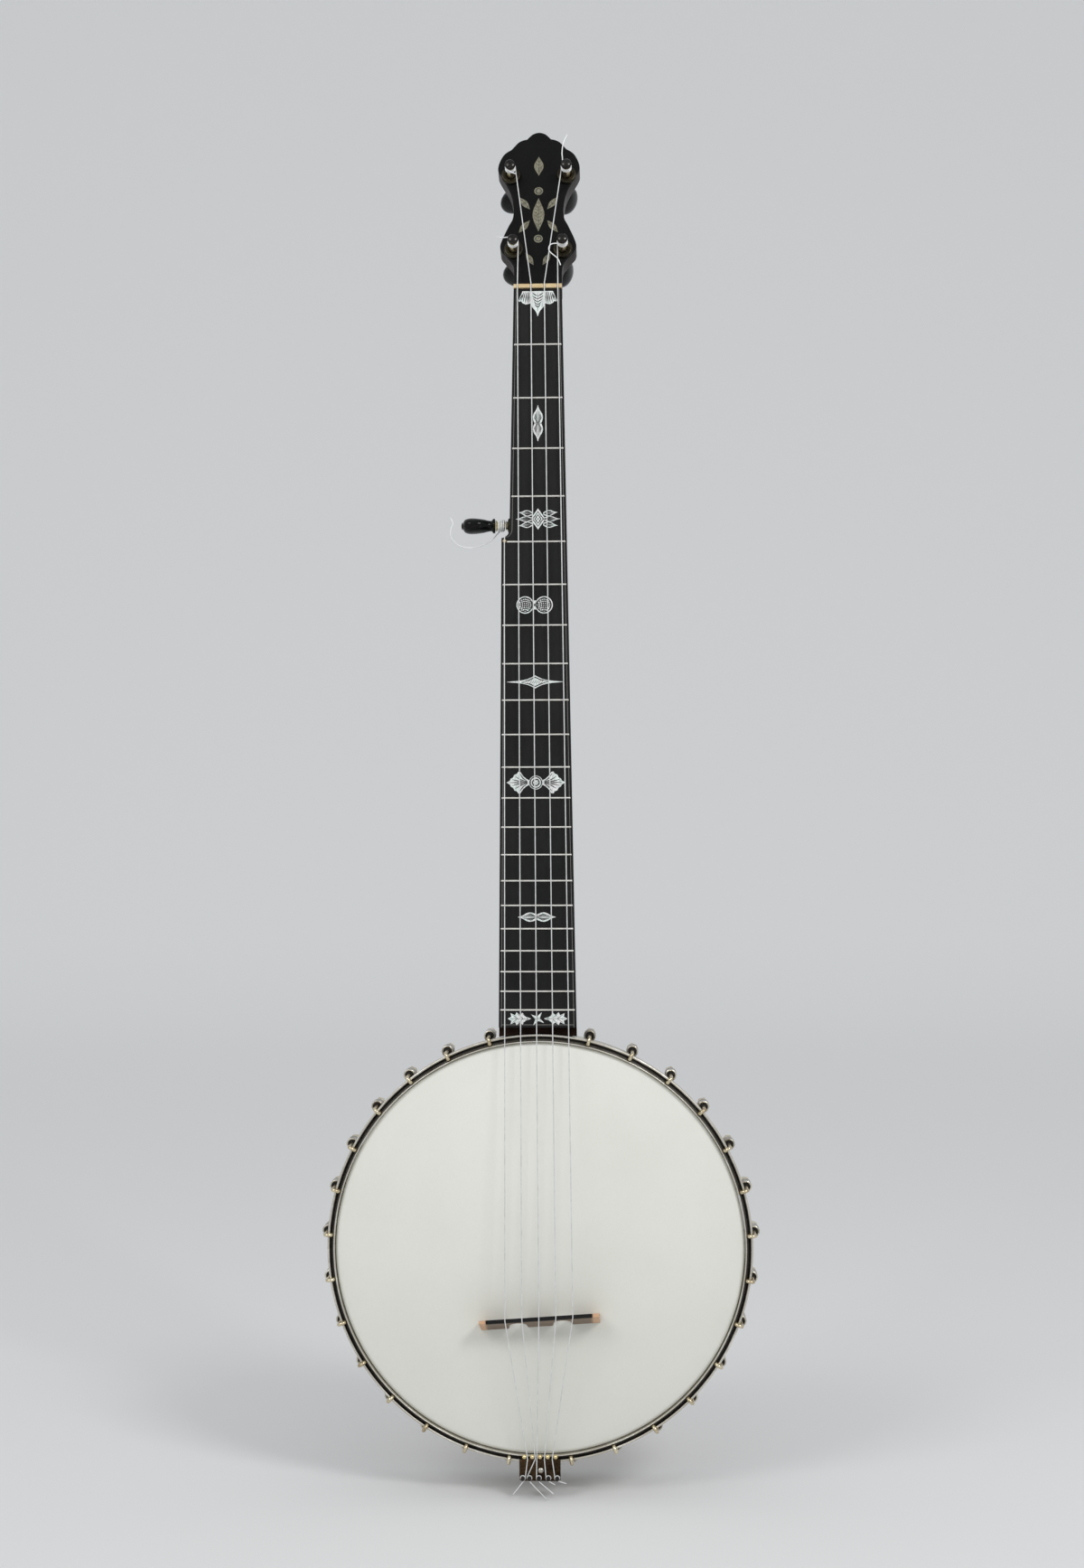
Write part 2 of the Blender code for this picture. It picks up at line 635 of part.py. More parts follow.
def build_peg(number, matrix, post, knob_start, knob_length, knob_shape):
    """A post, a flattened knob bored for the post's end, and the screw that holds the knob."""
    frame = make_frame(f"peg_{number}_axis", matrix)
    bm = bmesh.new()
    turned(bm, post, PEG_SIDES)
    add_piece(f"peg_{number}_post", bm, "nickel_silver", frame)

    wide, thin = knob_shape
    waist, collar = KNOB_WAIST, KNOB_COLLAR
    shape = [(collar, collar, 0), (collar, collar, 0.08), (waist, waist, 0.2),
             (0.86 * wide, 0.9 * thin, 0.44), (wide, thin, 0.72), (0.7 * wide, 0.8 * thin, 1)]
    outer = [(rx, ry, knob_start + knob_length * share) for rx, ry, share in shape]
    bore = opened(KNOB_TENON, PEG_SIDES)
    end = knob_start + knob_length
    bm = bmesh.new()
    turned(bm, outer + [(bore, end), (bore, knob_start)], PEG_SIDES, tube=True)
    bmesh.ops.rotate(bm, cent=(0, 0, 0), matrix=Matrix.Rotation(KNOB_TURNS[number - 1], 3, "Z"),
                     verts=bm.verts)
    add_piece(f"peg_{number}_knob", bm, "black_knob", frame)

    way = 1 if knob_length > 0 else -1
    shank = KNOB_TENON - GAP
    bm = bmesh.new()
    turned(bm, [(shank, knob_start + 0.65 * knob_length), (shank, end + way * GAP),
                (2.5 * MM, end + way * GAP), (1.8 * MM, end + way * 1.4 * MM)], 6)
    add_piece(f"peg_{number}_screw", bm, "brass", frame)
    return frame


def build_pegs():
    wood_back = -OVERLAY_THICKNESS - GAP - PEGHEAD_THICKNESS
    knob_start = wood_back - 2 * GAP
    barrel_end = POST_HEIGHT - 3 * MM
    post = [(KNOB_TENON, knob_start - 0.55 * KNOB_LENGTH), (KNOB_TENON, knob_start + GAP),
            (POST_SHAFT, knob_start + GAP), (POST_SHAFT, FERRULE_HEIGHT + GAP),
            (POST_BARREL, FERRULE_HEIGHT + 1 * MM), (POST_BARREL, barrel_end),
            (POST_TIP, barrel_end + 1 * MM), (0.7 * POST_TIP, POST_HEIGHT)]
    frames = []
    for number, (x, z) in enumerate(post_places(), 1):
        frames.append(build_peg(number, post_matrix(x, z), post, knob_start, -KNOB_LENGTH, KNOB_SHAPE))
    tip = FIFTH_KNOB_START - GAP
    post = [(POST_SHAFT, -FIFTH_SHAFT_IN_NECK), (POST_SHAFT, COLLAR_HEIGHT + GAP),
            (POST_BARREL, COLLAR_HEIGHT + 2 * GAP), (POST_BARREL, tip - 1 * MM), (POST_TIP, tip - 0.7 * MM),
            (POST_TIP, tip), (KNOB_TENON, tip), (KNOB_TENON, FIFTH_KNOB_START + 0.55 * FIFTH_KNOB_LENGTH)]
    frames.append(build_peg(5, fifth_matrix(), post, FIFTH_KNOB_START, FIFTH_KNOB_LENGTH, KNOB_SHAPE))

    bore = turning(POST_SHAFT, PEG_SIDES)
    places = [(post_matrix(x, z), FERRULE_RADIUS, FERRULE_HEIGHT) for x, z in post_places()]
    places.append((fifth_matrix(), 0.75 * FERRULE_RADIUS, COLLAR_HEIGHT))
    for number, (matrix, radius, height) in enumerate(places, 1):
        bm = bmesh.new()
        profile = [(bore, GAP), (radius, GAP), (0.84 * radius, height), (bore, height)]
        turned(bm, profile, PEG_SIDES, matrix, tube=True)
        add_piece(f"peg_{number}_ferrule", bm, "nickel_silver")
    return frames


# Pot

def build_rings(pot):
    stations = pot_stations()
    bm = bmesh.new()
    pot_ring(bm, [(wood_inner, rim_top), (wood_radius, rim_top), (wood_radius, RIM_BACK),
                  (wood_inner, RIM_BACK)], stations)
    rim = add_piece("rim", bm, "maple", pot)

    # The sheath's back edge is rolled round a wire
    bm = bmesh.new()
    inner, bead = RIM_RADIUS - SHEATH_THICKNESS, RIM_RADIUS + SHEATH_BEAD
    pot_ring(bm, [(inner, rim_top), (RIM_RADIUS, rim_top), (RIM_RADIUS, RIM_BACK - 2 * SHEATH_BEAD),
                  (bead, RIM_BACK - 0.9 * SHEATH_BEAD), (inner, RIM_BACK)], stations)
    sheath = add_piece("rim_sheath", bm, "nickel_silver", pot)
    low, high = wood_inner - CUT_OVER, bead + CUT_OVER
    for piece in (rim, sheath):
        bm = bmesh.new()
        cylinder(bm, opened(TENON_RADIUS, TENON_SIDES), low, high, TENON_SIDES, dowel_matrix)
        cylinder(bm, opened(END_BOLT_RADIUS, 8), -high, -low, 8, dowel_matrix)
        boolean(piece, bm, frame=pot)
    bm = bmesh.new()
    for angle in bracket_angles():
        cylinder(bm, opened(STUD_RADIUS, 5), low, high, 5, outwards(angle) @ SHOE_LEVEL)
    boolean(rim, bm, frame=pot)

    # The tone ring stands on the wood, under the bevel of the head
    bm = bmesh.new()
    outer = skin_inner * flat - GAP
    inner = outer - TONE_RING_SIDE
    bottom = tone_top + TONE_RING_SIDE
    pot_ring(bm, [(inner, tone_top), (outer - HEAD_BEND, tone_top), (outer, tone_top + HEAD_BEND),
                  (outer, bottom), (inner, bottom)], even_angles(36))
    add_piece("tone_ring", bm, "nickel_silver", pot)

    bm = bmesh.new()
    t = HEAD_THICKNESS
    mitre = t * math.tan(math.pi / 8)
    inside = [(skin_inner - HEAD_BEND, t), (skin_inner, t + HEAD_BEND), (skin_inner, SKIN_SKIRT)]
    outside = [(skin_outer, SKIN_SKIRT), (skin_outer, t + HEAD_BEND - mitre),
               (skin_inner - HEAD_BEND + mitre, 0)]
    loops = pot_loops(bm, inside + outside, stations)
    ring_faces(bm, loops, False)
    bm.faces.new(loops[0])
    bm.faces.new(loops[-1])
    add_piece("head", bm, "skin", pot)

    bm = bmesh.new()
    inner = turning(skin_outer, 36)
    outer = inner + FLESH_HOOP
    low = HOOP_BOTTOM + GAP
    high = low + FLESH_HOOP
    pot_ring(bm, [(inner, low), (outer, low), (outer, high), (inner, high)], even_angles(36))
    add_piece("flesh_hoop", bm, "dark_steel", pot)

    # A ridge stands next to the head, then the groove for the hooks, then a low lip
    bm = bmesh.new()
    ridge = hoop_inner + HOOP_RIDGE
    lip = ridge + HOOP_GROOVE
    pot_ring(bm, [(hoop_inner, HOOP_BOTTOM), (hoop_inner, -HOOP_ABOVE_HEAD), (ridge, -HOOP_ABOVE_HEAD),
                  (ridge, groove_floor), (lip, groove_floor), (lip, lip_depth), (hoop_outer, lip_depth),
                  (hoop_outer, HOOP_BOTTOM)], stations)
    hoop = add_piece("tension_hoop", bm, "nickel_silver", pot)
    return hoop, sheath


def join_at_brackets(carrier, template, pot):
    """Join a copy of the template to its carrier at each bracket; the template is then removed."""
    graph = bpy.context.evaluated_depsgraph_get()
    mesh = bpy.data.meshes.new_from_object(template.evaluated_get(graph))
    for used in [modifier.object for modifier in template.modifiers] + [template]:
        bpy.data.objects.remove(used, do_unlink=True)
    bm = bmesh.new()
    for angle in bracket_angles():
        first = len(bm.verts)
        bm.from_mesh(mesh)
        bm.verts.ensure_lookup_table()
        bmesh.ops.transform(bm, matrix=outwards(angle), verts=bm.verts[first:])
    boolean(carrier, bm, "UNION", pot)


def build_brackets(hoop, sheath, pot):
    # The hook's wire runs from the groove over the lip and back through the shoe to its nut
    tip_radius = (hoop_inner + HOOP_RIDGE + HOOP_GROOVE / 2) * flat
    bend = (hook_circle - tip_radius) / 2
    path = [(tip_radius, groove_floor + 1 * MM)]
    path += arc((tip_radius + bend, lip_depth - 1.3 * MM), bend, 180, 360, 3)
    path.append((hook_circle, HOOK_END))
    bm = bmesh.new()
    sections = []
    for i, (r, d) in enumerate(path):
        before, after = path[max(0, i - 1)], path[min(len(path) - 1, i + 1)]
        along = Vector((0, after[1] - before[1], after[0] - before[0])).normalized()
        if i in (1, len(path) - 2):
            along = Vector((0, -1 if i == 1 else 1, 0))
        side = Vector((1, 0, 0))
        up = side.cross(along)
        sections.append([Vector((0, d, r)) + HOOK_WIRE * (math.cos(a) * side + math.sin(a) * up)
                         for a in even_angles(5)])
    loft(bm, sections)
    hook = add_piece("hook_template", bm, "brass")
    low, high = SHOE_DEPTH - SHOE_LENGTH / 2, SHOE_DEPTH + SHOE_LENGTH / 2
    axis = to_back(hook_circle, 0)
    bm = bmesh.new()
    cylinder(bm, HOOK_NUT_RADIUS, high + GAP, high + GAP + HOOK_NUT_LENGTH, 6, axis)
    boolean(hook, bm, "UNION")
    join_at_brackets(hoop, hook, pot)

    # The shoe is a short barrel on a stud that runs through the rim to a square nut
    nut_top = wood_inner * flat - GAP
    nut_end = nut_top - RIM_NUT_HEIGHT
    bm = bmesh.new()
    cylinder(bm, SHOE_RADIUS, low, high, 6, axis)
    shoe = add_piece("shoe_template", bm, "brass")
    bm = bmesh.new()
    cylinder(bm, STUD_RADIUS, nut_end - 3 * GAP, hook_circle - 1.2 * HOOK_WIRE, 5, SHOE_LEVEL)
    boolean(shoe, bm, "UNION")
    bm = bmesh.new()
    half = RIM_NUT_WIDTH / 2
    box(bm, (-half, -half, nut_end), (half, half, nut_top), SHOE_LEVEL)
    boolean(shoe, bm, "UNION")
    bm = bmesh.new()
    cylinder(bm, opened(HOOK_WIRE, 5), low - CUT_OVER, high + CUT_OVER, 5, axis)
    boolean(shoe, bm)
    join_at_brackets(sheath, shoe, pot)


# Dowel stick, brace, end bolt and tailpiece

def build_dowel(pot):
    half_width, half_height, chamfer = DOWEL_WIDTH / 2, DOWEL_HEIGHT / 2, 2 * MM
    top = math.sqrt(wood_inner ** 2 - half_width ** 2) - 2 * GAP     # its corners clear the round wall
    corners = [(half_width - chamfer, -half_height), (half_width, -half_height + chamfer),
               (half_width, half_height - chamfer), (half_width - chamfer, half_height)]
    bm = bmesh.new()
    prism(bm, corners + [(-a, b) for a, b in reversed(corners)], -top, top,
          lambda a, b, h: (a, DOWEL_DEPTH + b, h))
    stick = add_piece("dowel_stick", bm, "maple", pot)
    bm = bmesh.new()
    cylinder(bm, TENON_RADIUS, top - CUT_OVER, RIM_RADIUS + TENON_INTO_HEEL, TENON_SIDES, dowel_matrix)
    boolean(stick, bm, "UNION", pot)
    bm = bmesh.new()
    bolt_tip = -RIM_RADIUS + END_BOLT_LENGTH
    cylinder(bm, opened(END_BOLT_RADIUS, 8), -top - CUT_OVER, bolt_tip + GAP, 8, dowel_matrix)
    boolean(stick, bm, frame=pot)

    # An angle of sheet brass lies on the stick's back and stands against the rim
    back, t = DOWEL_DEPTH + half_height + GAP, BRACE_THICKNESS
    wall = math.sqrt(wood_inner ** 2 - (BRACE_WIDTH / 2) ** 2) - 2 * GAP
    profile = [(back, wall - BRACE_LEG), (back, wall), (back + BRACE_FOOT, wall),
               (back + BRACE_FOOT, wall - t), (back + t, wall - t), (back + t, wall - BRACE_LEG)]
    bm = bmesh.new()
    loft(bm, [[(x, y, z) for y, z in profile] for x in (-BRACE_WIDTH / 2, BRACE_WIDTH / 2)])
    brace = add_piece("neck_brace", bm, "brass", pot)
    axis = to_back(wall - 0.6 * BRACE_LEG, 0)
    bore = opened(BRACE_SCREW_RADIUS, 8)
    for carrier in (brace, stick):
        bm = bmesh.new()
        cylinder(bm, bore, back - BRACE_SCREW_DEPTH - GAP, back + t + CUT_OVER, 8, axis)
        boolean(carrier, bm, frame=pot)
    face = back + t + GAP
    bm = bmesh.new()
    turned(bm, [(BRACE_SCREW_RADIUS, back - BRACE_SCREW_DEPTH), (BRACE_SCREW_RADIUS, face), (3.6 * MM, face),
                (3.4 * MM, face + 1 * MM), (2 * MM, face + 2 * MM)], 8, axis)
    add_piece("brace_screw", bm, "brass", pot)


def build_tail(pot):
    # An angle under the end bolt carries the tailpiece's bolt
    t, wall, half = TAIL_ANGLE_THICKNESS, RIM_RADIUS + GAP, TAIL_ANGLE_WIDTH / 2
    shelf, bottom, reach = TAIL_SHELF_DEPTH, DOWEL_DEPTH + TAIL_LEG, tail_bolt_circle + TAIL_SHELF_MARGIN
    profile = [(bottom, -wall), (shelf, -wall), (shelf, -reach), (shelf + t, -reach), (shelf + t, -wall - t),
               (bottom, -wall - t)]
    bm = bmesh.new()
    loft(bm, [[(x, y, z) for y, z in profile] for x in (-half, half)])
    bracket = add_piece("tailpiece_bracket", bm, "brass", pot)
    bolt_axis = to_back(-tail_bolt_circle, 0, TAIL_BOLT_X)
    tail_bore = opened(TAIL_BOLT_RADIUS, 8)
    bm = bmesh.new()
    cylinder(bm, opened(END_BOLT_RADIUS, 8), -wall - t - CUT_OVER, -wall + CUT_OVER, 8, dowel_matrix)
    cylinder(bm, tail_bore, shelf - CUT_OVER, shelf + t + CUT_OVER, 8, bolt_axis)
    boolean(bracket, bm, frame=pot)
    head = -wall - t - GAP
    bm = bmesh.new()
    turned(bm, [(END_BOLT_RADIUS, -RIM_RADIUS + END_BOLT_LENGTH), (END_BOLT_RADIUS, head), (6 * MM, head),
                (5.6 * MM, head - 1.6 * MM), (3 * MM, head - 3.6 * MM)], 8, dowel_matrix)
    add_piece("end_bolt", bm, "brass", pot)

    # A plate with five beaded fingers, a skirt and five hitch posts
    face = -TAILPIECE_LIFT - TAILPIECE_THICKNESS
    finger = 0.5 * (FINGER_SPACING - FINGER_SLOT)
    root = -tailpiece_front - FINGER_LENGTH
    outline = [(TAILPIECE_HALF_WIDTH, root)]
    for i in (2, 1, 0, -1, -2):
        x = i * FINGER_SPACING
        outline += [(x + finger, root), (x + finger, -tailpiece_front), (x - finger, -tailpiece_front),
                    (x - finger, root)]
    outline += [(-TAILPIECE_HALF_WIDTH, root), (-TAILPIECE_HALF_WIDTH, -tailpiece_back),
                (TAILPIECE_HALF_WIDTH, -tailpiece_back)]
    bm = bmesh.new()
    prism(bm, outline, face, -TAILPIECE_LIFT)
    plate = add_piece("tailpiece", bm, "brass", pot)
    inset = TAIL_SKIRT_THICKNESS / 2
    bm = bmesh.new()
    box(bm, (-TAILPIECE_HALF_WIDTH + inset, -TAILPIECE_LIFT - inset, -tailpiece_back - inset),
        (TAILPIECE_HALF_WIDTH - inset, -TAILPIECE_LIFT + TAIL_SKIRT, -tailpiece_back + inset))
    boolean(plate, bm, "UNION", pot)
    bm = bmesh.new()
    r = FINGER_BEAD
    for i in (-2, -1, 0, 1, 2):
        turned(bm, [(0.6 * r, -0.9 * r), (r, 0), (0.6 * r, 0.9 * r)], 6,
               standing(i * FINGER_SPACING, face + 0.1 * MM, -tailpiece_front - 0.3 * MM))
    h, r = HITCH_HEIGHT, HITCH_RADIUS
    for x, z in hitch_places():
        turned(bm, [(r, -0.8 * MM), (r, h - 1 * MM), (1.6 * r, h)], 6, standing(x, face, z))
    boolean(plate, bm, "UNION", pot)
    bm = bmesh.new()
    cylinder(bm, tail_bore, face - CUT_OVER, -TAILPIECE_LIFT + CUT_OVER, 8, bolt_axis)
    boolean(plate, bm, frame=pot)
    under = face - GAP
    bm = bmesh.new()
    turned(bm, [(1.1 * MM, under - 1.3 * MM), (1.9 * MM, under - 0.7 * MM), (1.9 * MM, under),
                (TAIL_BOLT_RADIUS, under), (TAIL_BOLT_RADIUS, shelf + t + 3 * MM)], 8, bolt_axis)
    add_piece("tailpiece_bolt", bm, "brass", pot)


def hitch_places():
    """First string to fifth, across the tailpiece's outer edge."""
    return [(x * MM, -tailpiece_back + HITCH_INSET) for x in HITCH_X]


# Bridge

def bridge_matrix():
    z = (nut_matrix @ Vector((0, 0, BRIDGE_SHORT_OF_SCALE - SCALE_LENGTH))).z
    return Matrix.Translation((0, pot_matrix.translation.y, z)) @ Matrix.Rotation(-BRIDGE_TURN, 4, "Y")


def build_bridge():
    frame = make_frame("bridge_frame", bridge_matrix())
    foot, top = GAP, BRIDGE_HEIGHT - BRIDGE_CAP_HEIGHT - GAP
    low, high = BRIDGE_ARCH
    middle, half = (low + high) / 2, (high - low) / 2
    arch = []
    for i in range(7):
        a = math.pi * i / 6
        arch.append((middle + half * math.cos(a), foot + (BRIDGE_ARCH_HEIGHT - foot) * math.sin(a) ** 0.6))
    beside, crest = BRIDGE_CAP_HALF_LENGTH + GAP, BRIDGE_HEIGHT - BRIDGE_END_BELOW_CAP
    right = [(beside, top), (beside, crest), (BRIDGE_HALF_LENGTH, crest), (BRIDGE_HALF_LENGTH, foot)] + arch
    outline = right + [(-x, h) for x, h in reversed(right)]
    lean = math.tan(BRIDGE_LEAN)
    half_top = BRIDGE_TOP_THICKNESS / 2
    back_lean = lean + (BRIDGE_FOOT_THICKNESS - BRIDGE_TOP_THICKNESS) / BRIDGE_HEIGHT
    half, low = BRIDGE_CAP_HALF_LENGTH, top + GAP
    cap = [(-half, low), (half, low), (half, BRIDGE_HEIGHT), (-half, BRIDGE_HEIGHT)]
    for name, finish, shape in (("bridge", "maple", outline), ("bridge_cap", "ebony", cap)):
        bm = bmesh.new()
        loft(bm, [[(x, -h, edge - (BRIDGE_HEIGHT - h) * slope) for x, h in shape]
                  for edge, slope in ((half_top, lean), (-half_top, back_lean))])
        add_piece(name, bm, finish, frame, smooth=False)


# Strings and their windings

def add_tube(name, points, resolution):
    curve = bpy.data.curves.new(name, "CURVE")
    curve.dimensions = "3D"
    curve.bevel_depth = STRING_RADIUS
    curve.bevel_resolution = resolution
    curve.use_fill_caps = True
    spline = curve.splines.new("POLY")
    spline.points.add(len(points) - 1)
    for point, place in zip(spline.points, points):
        point.co = (*place, 1)
    piece = bpy.data.objects.new(name, curve)
    bpy.context.collection.objects.link(piece)
    curve.materials.append(finish_material("gut"))


def touch_angle(matrix, place, radius, way):
    """Where a string from a place meets a post whose axis is Z; way 1 goes on clockwise."""
    local = matrix.inverted() @ place
    return math.atan2(local.y, local.x) - way * math.acos(radius / Vector((local.x, local.y)).length)


def coil(matrix, radius, start, sweep, low, rise, steps):
    """Points of a helix about Z; sweep and rise are those of the whole length."""
    points = []
    for i in range(steps + 1):
        a = start + sweep * i / steps
        points.append(matrix @ Vector((radius * math.cos(a), radius * math.sin(a), low + rise * i / steps)))
    return points


def least_gap(points, step_count):
    """Least distance between points of different turns, less the tube's diameter."""
    apart = [(a - b).length for i, a in enumerate(points) for b in points[i + step_count // 2:]]
    return min(apart) - 2 * STRING_RADIUS


def build_strings(frames):
    board_face = nut_matrix @ Matrix.Translation((0, -BOARD_THICKNESS, 0))
    over = GAP + STRING_RADIUS
    wrap_radius = POST_BARREL + over
    plate_face = -TAILPIECE_LIFT - TAILPIECE_THICKNESS - over
    pitch = WINDING_PITCH
    for number, frame in enumerate(frames, 1):
        # At the tail: the tag, one turn round the hitch post, and the run to the front edge
        x, z = hitch_places()[number - 1]
        hitch = pot_matrix @ standing(x, plate_face, z)
        edge = pot_matrix @ Vector((TAIL_STRING_X[number - 1] * MM, plate_face, -tailpiece_front - 1.4 * MM))
        way = 1 if number == 5 else -1
        radius = HITCH_RADIUS + over
        touch = touch_angle(hitch, edge, radius, way)
        loop = coil(hitch, radius, touch, -way * HITCH_SWEEP, 0, pitch, 6)
        tag = Vector(TAGS[number - 1]) * MM
        points = [loop[-1] + tag, loop[-1] + 0.5 * tag] + loop[::-1] + [edge]

        # Over the bridge, then through the nut's slot or over the pip
        x = (3 - number) * BRIDGE_STRING_SPACING
        points.append(bridge_matrix() @ Vector((x, -BRIDGE_HEIGHT - over, 0)))
        if number < 5:
            x, y = nut_string_x(number), -NUT_ABOVE_BOARD + NUT_SLOT_DEPTH - over
            points += [board_face @ Vector((x, y, 0)), board_face @ Vector((x, y + 0.4 * MM, NUT_LENGTH))]
        else:
            points.append(board_face @ Vector((PIP_X, -PIP_ABOVE_BOARD - over, -pip_from_nut)))

        # Not quite half a turn round the post, below the winding
        matrix = frame.matrix_world
        way, height, whole_turns, leave = WINDINGS[number - 1]
        touch = touch_angle(matrix, points[-1], wrap_radius, way)
        points += coil(matrix, wrap_radius, touch, -way * WRAP_SWEEP, height, 0, 4)
        add_tube(f"string_{number}", points, 0)

        # The winding turns with the peg; its turns end where the tail leaves
        begin = touch - way * math.pi
        part = (way * (begin - math.radians(leave)) - math.pi / 2) % (2 * math.pi)
        turns = whole_turns + part / (2 * math.pi)
        if part > math.radians(150):
            turns -= 1
        steps = round(turns * WINDING_POINTS)
        sweep = -way * turns * 2 * math.pi
        winding = coil(matrix, wrap_radius, begin, sweep, height + pitch, pitch * turns, steps)
        print(f"peg_{number}_winding: {turns:.2f} turns, top {(height + pitch * (turns + 1)) / MM:.1f} mm, "
              f"least gap to itself {least_gap(winding, WINDING_POINTS) / MM:.2f} mm")
        turn = matrix.to_3x3()
        winding += [winding[-1] + turn @ Vector(bend) * MM for bend in TAILS[number - 1]]
        add_tube(f"peg_{number}_winding", winding, 1)


def main():
    clear_scene()
    neck = make_frame("neck_frame", nut_matrix)
    peghead = make_frame("peghead_frame", peghead_matrix)
    pot = make_frame("pot_frame", pot_matrix)
    build_neck(neck, peghead, pot)
    build_heel_cap(neck, pot)
    build_overlay(peghead)
    build_fingerboard(neck)
    build_nut(neck)
    hoop, sheath = build_rings(pot)
    build_brackets(hoop, sheath, pot)
    build_dowel(pot)
    build_tail(pot)
    build_bridge()
    build_strings(build_pegs())


main()
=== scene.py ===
"""Looks of the open-back banjo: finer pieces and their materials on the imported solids.

Metres, in the row's frame: +Z runs up the neck and the head faces -Y. The sizes repeat those that the
solids were made from.
"""

import json
import math

import bmesh
import bpy
from mathutils import Matrix, Vector

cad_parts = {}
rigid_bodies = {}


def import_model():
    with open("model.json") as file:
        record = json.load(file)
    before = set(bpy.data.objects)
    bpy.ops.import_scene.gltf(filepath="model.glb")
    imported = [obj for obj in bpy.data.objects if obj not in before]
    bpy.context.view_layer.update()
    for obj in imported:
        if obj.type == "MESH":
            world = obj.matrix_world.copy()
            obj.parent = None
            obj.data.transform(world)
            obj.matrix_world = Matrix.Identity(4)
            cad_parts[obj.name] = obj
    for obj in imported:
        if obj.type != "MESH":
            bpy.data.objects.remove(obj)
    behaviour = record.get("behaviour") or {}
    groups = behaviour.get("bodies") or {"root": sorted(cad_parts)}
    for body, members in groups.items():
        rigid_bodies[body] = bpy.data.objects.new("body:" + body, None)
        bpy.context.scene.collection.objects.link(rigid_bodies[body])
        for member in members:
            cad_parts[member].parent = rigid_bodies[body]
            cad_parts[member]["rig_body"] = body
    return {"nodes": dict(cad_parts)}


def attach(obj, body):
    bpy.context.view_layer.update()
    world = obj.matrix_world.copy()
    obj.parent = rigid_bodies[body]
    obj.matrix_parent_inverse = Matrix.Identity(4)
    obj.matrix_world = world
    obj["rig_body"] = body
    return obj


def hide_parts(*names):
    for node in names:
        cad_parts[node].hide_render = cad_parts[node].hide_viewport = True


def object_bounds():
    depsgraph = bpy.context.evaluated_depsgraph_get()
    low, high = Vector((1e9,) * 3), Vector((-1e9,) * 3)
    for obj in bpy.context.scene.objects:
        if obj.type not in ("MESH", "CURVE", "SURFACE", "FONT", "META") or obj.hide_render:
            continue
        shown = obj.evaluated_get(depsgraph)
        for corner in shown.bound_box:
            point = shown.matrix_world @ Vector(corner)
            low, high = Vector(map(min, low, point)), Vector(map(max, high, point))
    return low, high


MM = 0.001
GAP = 0.3 * MM
BODY = "banjo"

# Neck and fingerboard
SCALE_LENGTH = 686 * MM
NECK_SET_ANGLE = math.radians(3)
NUT_BELOW_HANGER = 14 * MM
NUT_HALF_WIDTH = 16.2 * MM
END_HALF_WIDTH_TREBLE = 24.8 * MM
END_HALF_WIDTH_BASS = 26.2 * MM
STEP_HALF_WIDTH = 24.4 * MM
STEP_ABOVE_FRET = 2.6 * MM
STEP_COVE_RADIUS = 6 * MM
NECK_DEPTH_NUT = 14.5 * MM
NECK_DEPTH_MIDDLE = 20 * MM
HEEL_LENGTH = 79 * MM
HEEL_FLAT_LENGTH = 20 * MM
HEEL_DEPTH = 51 * MM
HEEL_KEEL_SHARE = 0.46
BOARD_THICKNESS = 5 * MM
BOARD_PROUD_OF_HEAD = 3 * MM
BOARD_END_TO_HOOP = 4.6 * MM
STRIP_WIDTH = 1.6 * MM
LAST_FRET = 22
FRET_WIDTH = 1.2 * MM
FRET_HEIGHT = 1.25 * MM
FRET_FROM_EDGE = 1 * MM
NUT_LENGTH = 3.2 * MM
NUT_ABOVE_BOARD = 2 * MM
NUT_STRING_SPACING = 9.05 * MM
NUT_SLOT_DEPTH = 0.6 * MM
PIP_RADIUS = 1.15 * MM
PIP_X = -22.3 * MM
PIP_ABOVE_FRET = 0.5 * MM
PIP_ABOVE_BOARD = 2.2 * MM
INLAY_PROUD = 0.06 * MM
ENGRAVING_PROUD = 0.09 * MM
INLAY_DEPTH = 0.4 * MM
BOARD_STROKE = 0.75
PEGHEAD_STROKE = 0.6
FAN_FROM_NUT = 2 * MM

# Peghead; the outline in shares of its half width and length
PEGHEAD_ANGLE = math.radians(13)
PEGHEAD_THICKNESS = 12 * MM
PEGHEAD_LENGTH = 121.8 * MM
PEGHEAD_HALF_WIDTH = 28 * MM
PEGHEAD_SIDE = [(0.586, 0.127), (0.664, 0.172), (0.807, 0.215), (0.9, 0.243), (0.923, 0.275),
                (0.88, 0.312), (0.804, 0.356), (0.713, 0.404), (0.632, 0.443), (0.607, 0.489),
                (0.618, 0.53), (0.65, 0.576), (0.711, 0.62), (0.8, 0.664), (0.907, 0.709), (0.986, 0.747),
                (1, 0.772), (0.971, 0.805), (0.893, 0.846), (0.796, 0.872), (0.671, 0.891)]
PEGHEAD_SHOULDER = [(0.671, 0.891), (0.605, 0.91), (0.502, 0.937), (0.389, 0.951), (0.293, 0.956)]
PEGHEAD_CROWN = [(0.293, 0.956), (0.225, 0.974), (0.139, 0.991), (0, 1), (-0.139, 0.991),
                 (-0.225, 0.974), (-0.293, 0.956)]
UPPER_POST = (0.679, 0.718)
LOWER_POST = (0.593, 0.246)
OVERLAY_THICKNESS = 1.6 * MM
OVERLAY_START = 4 * MM

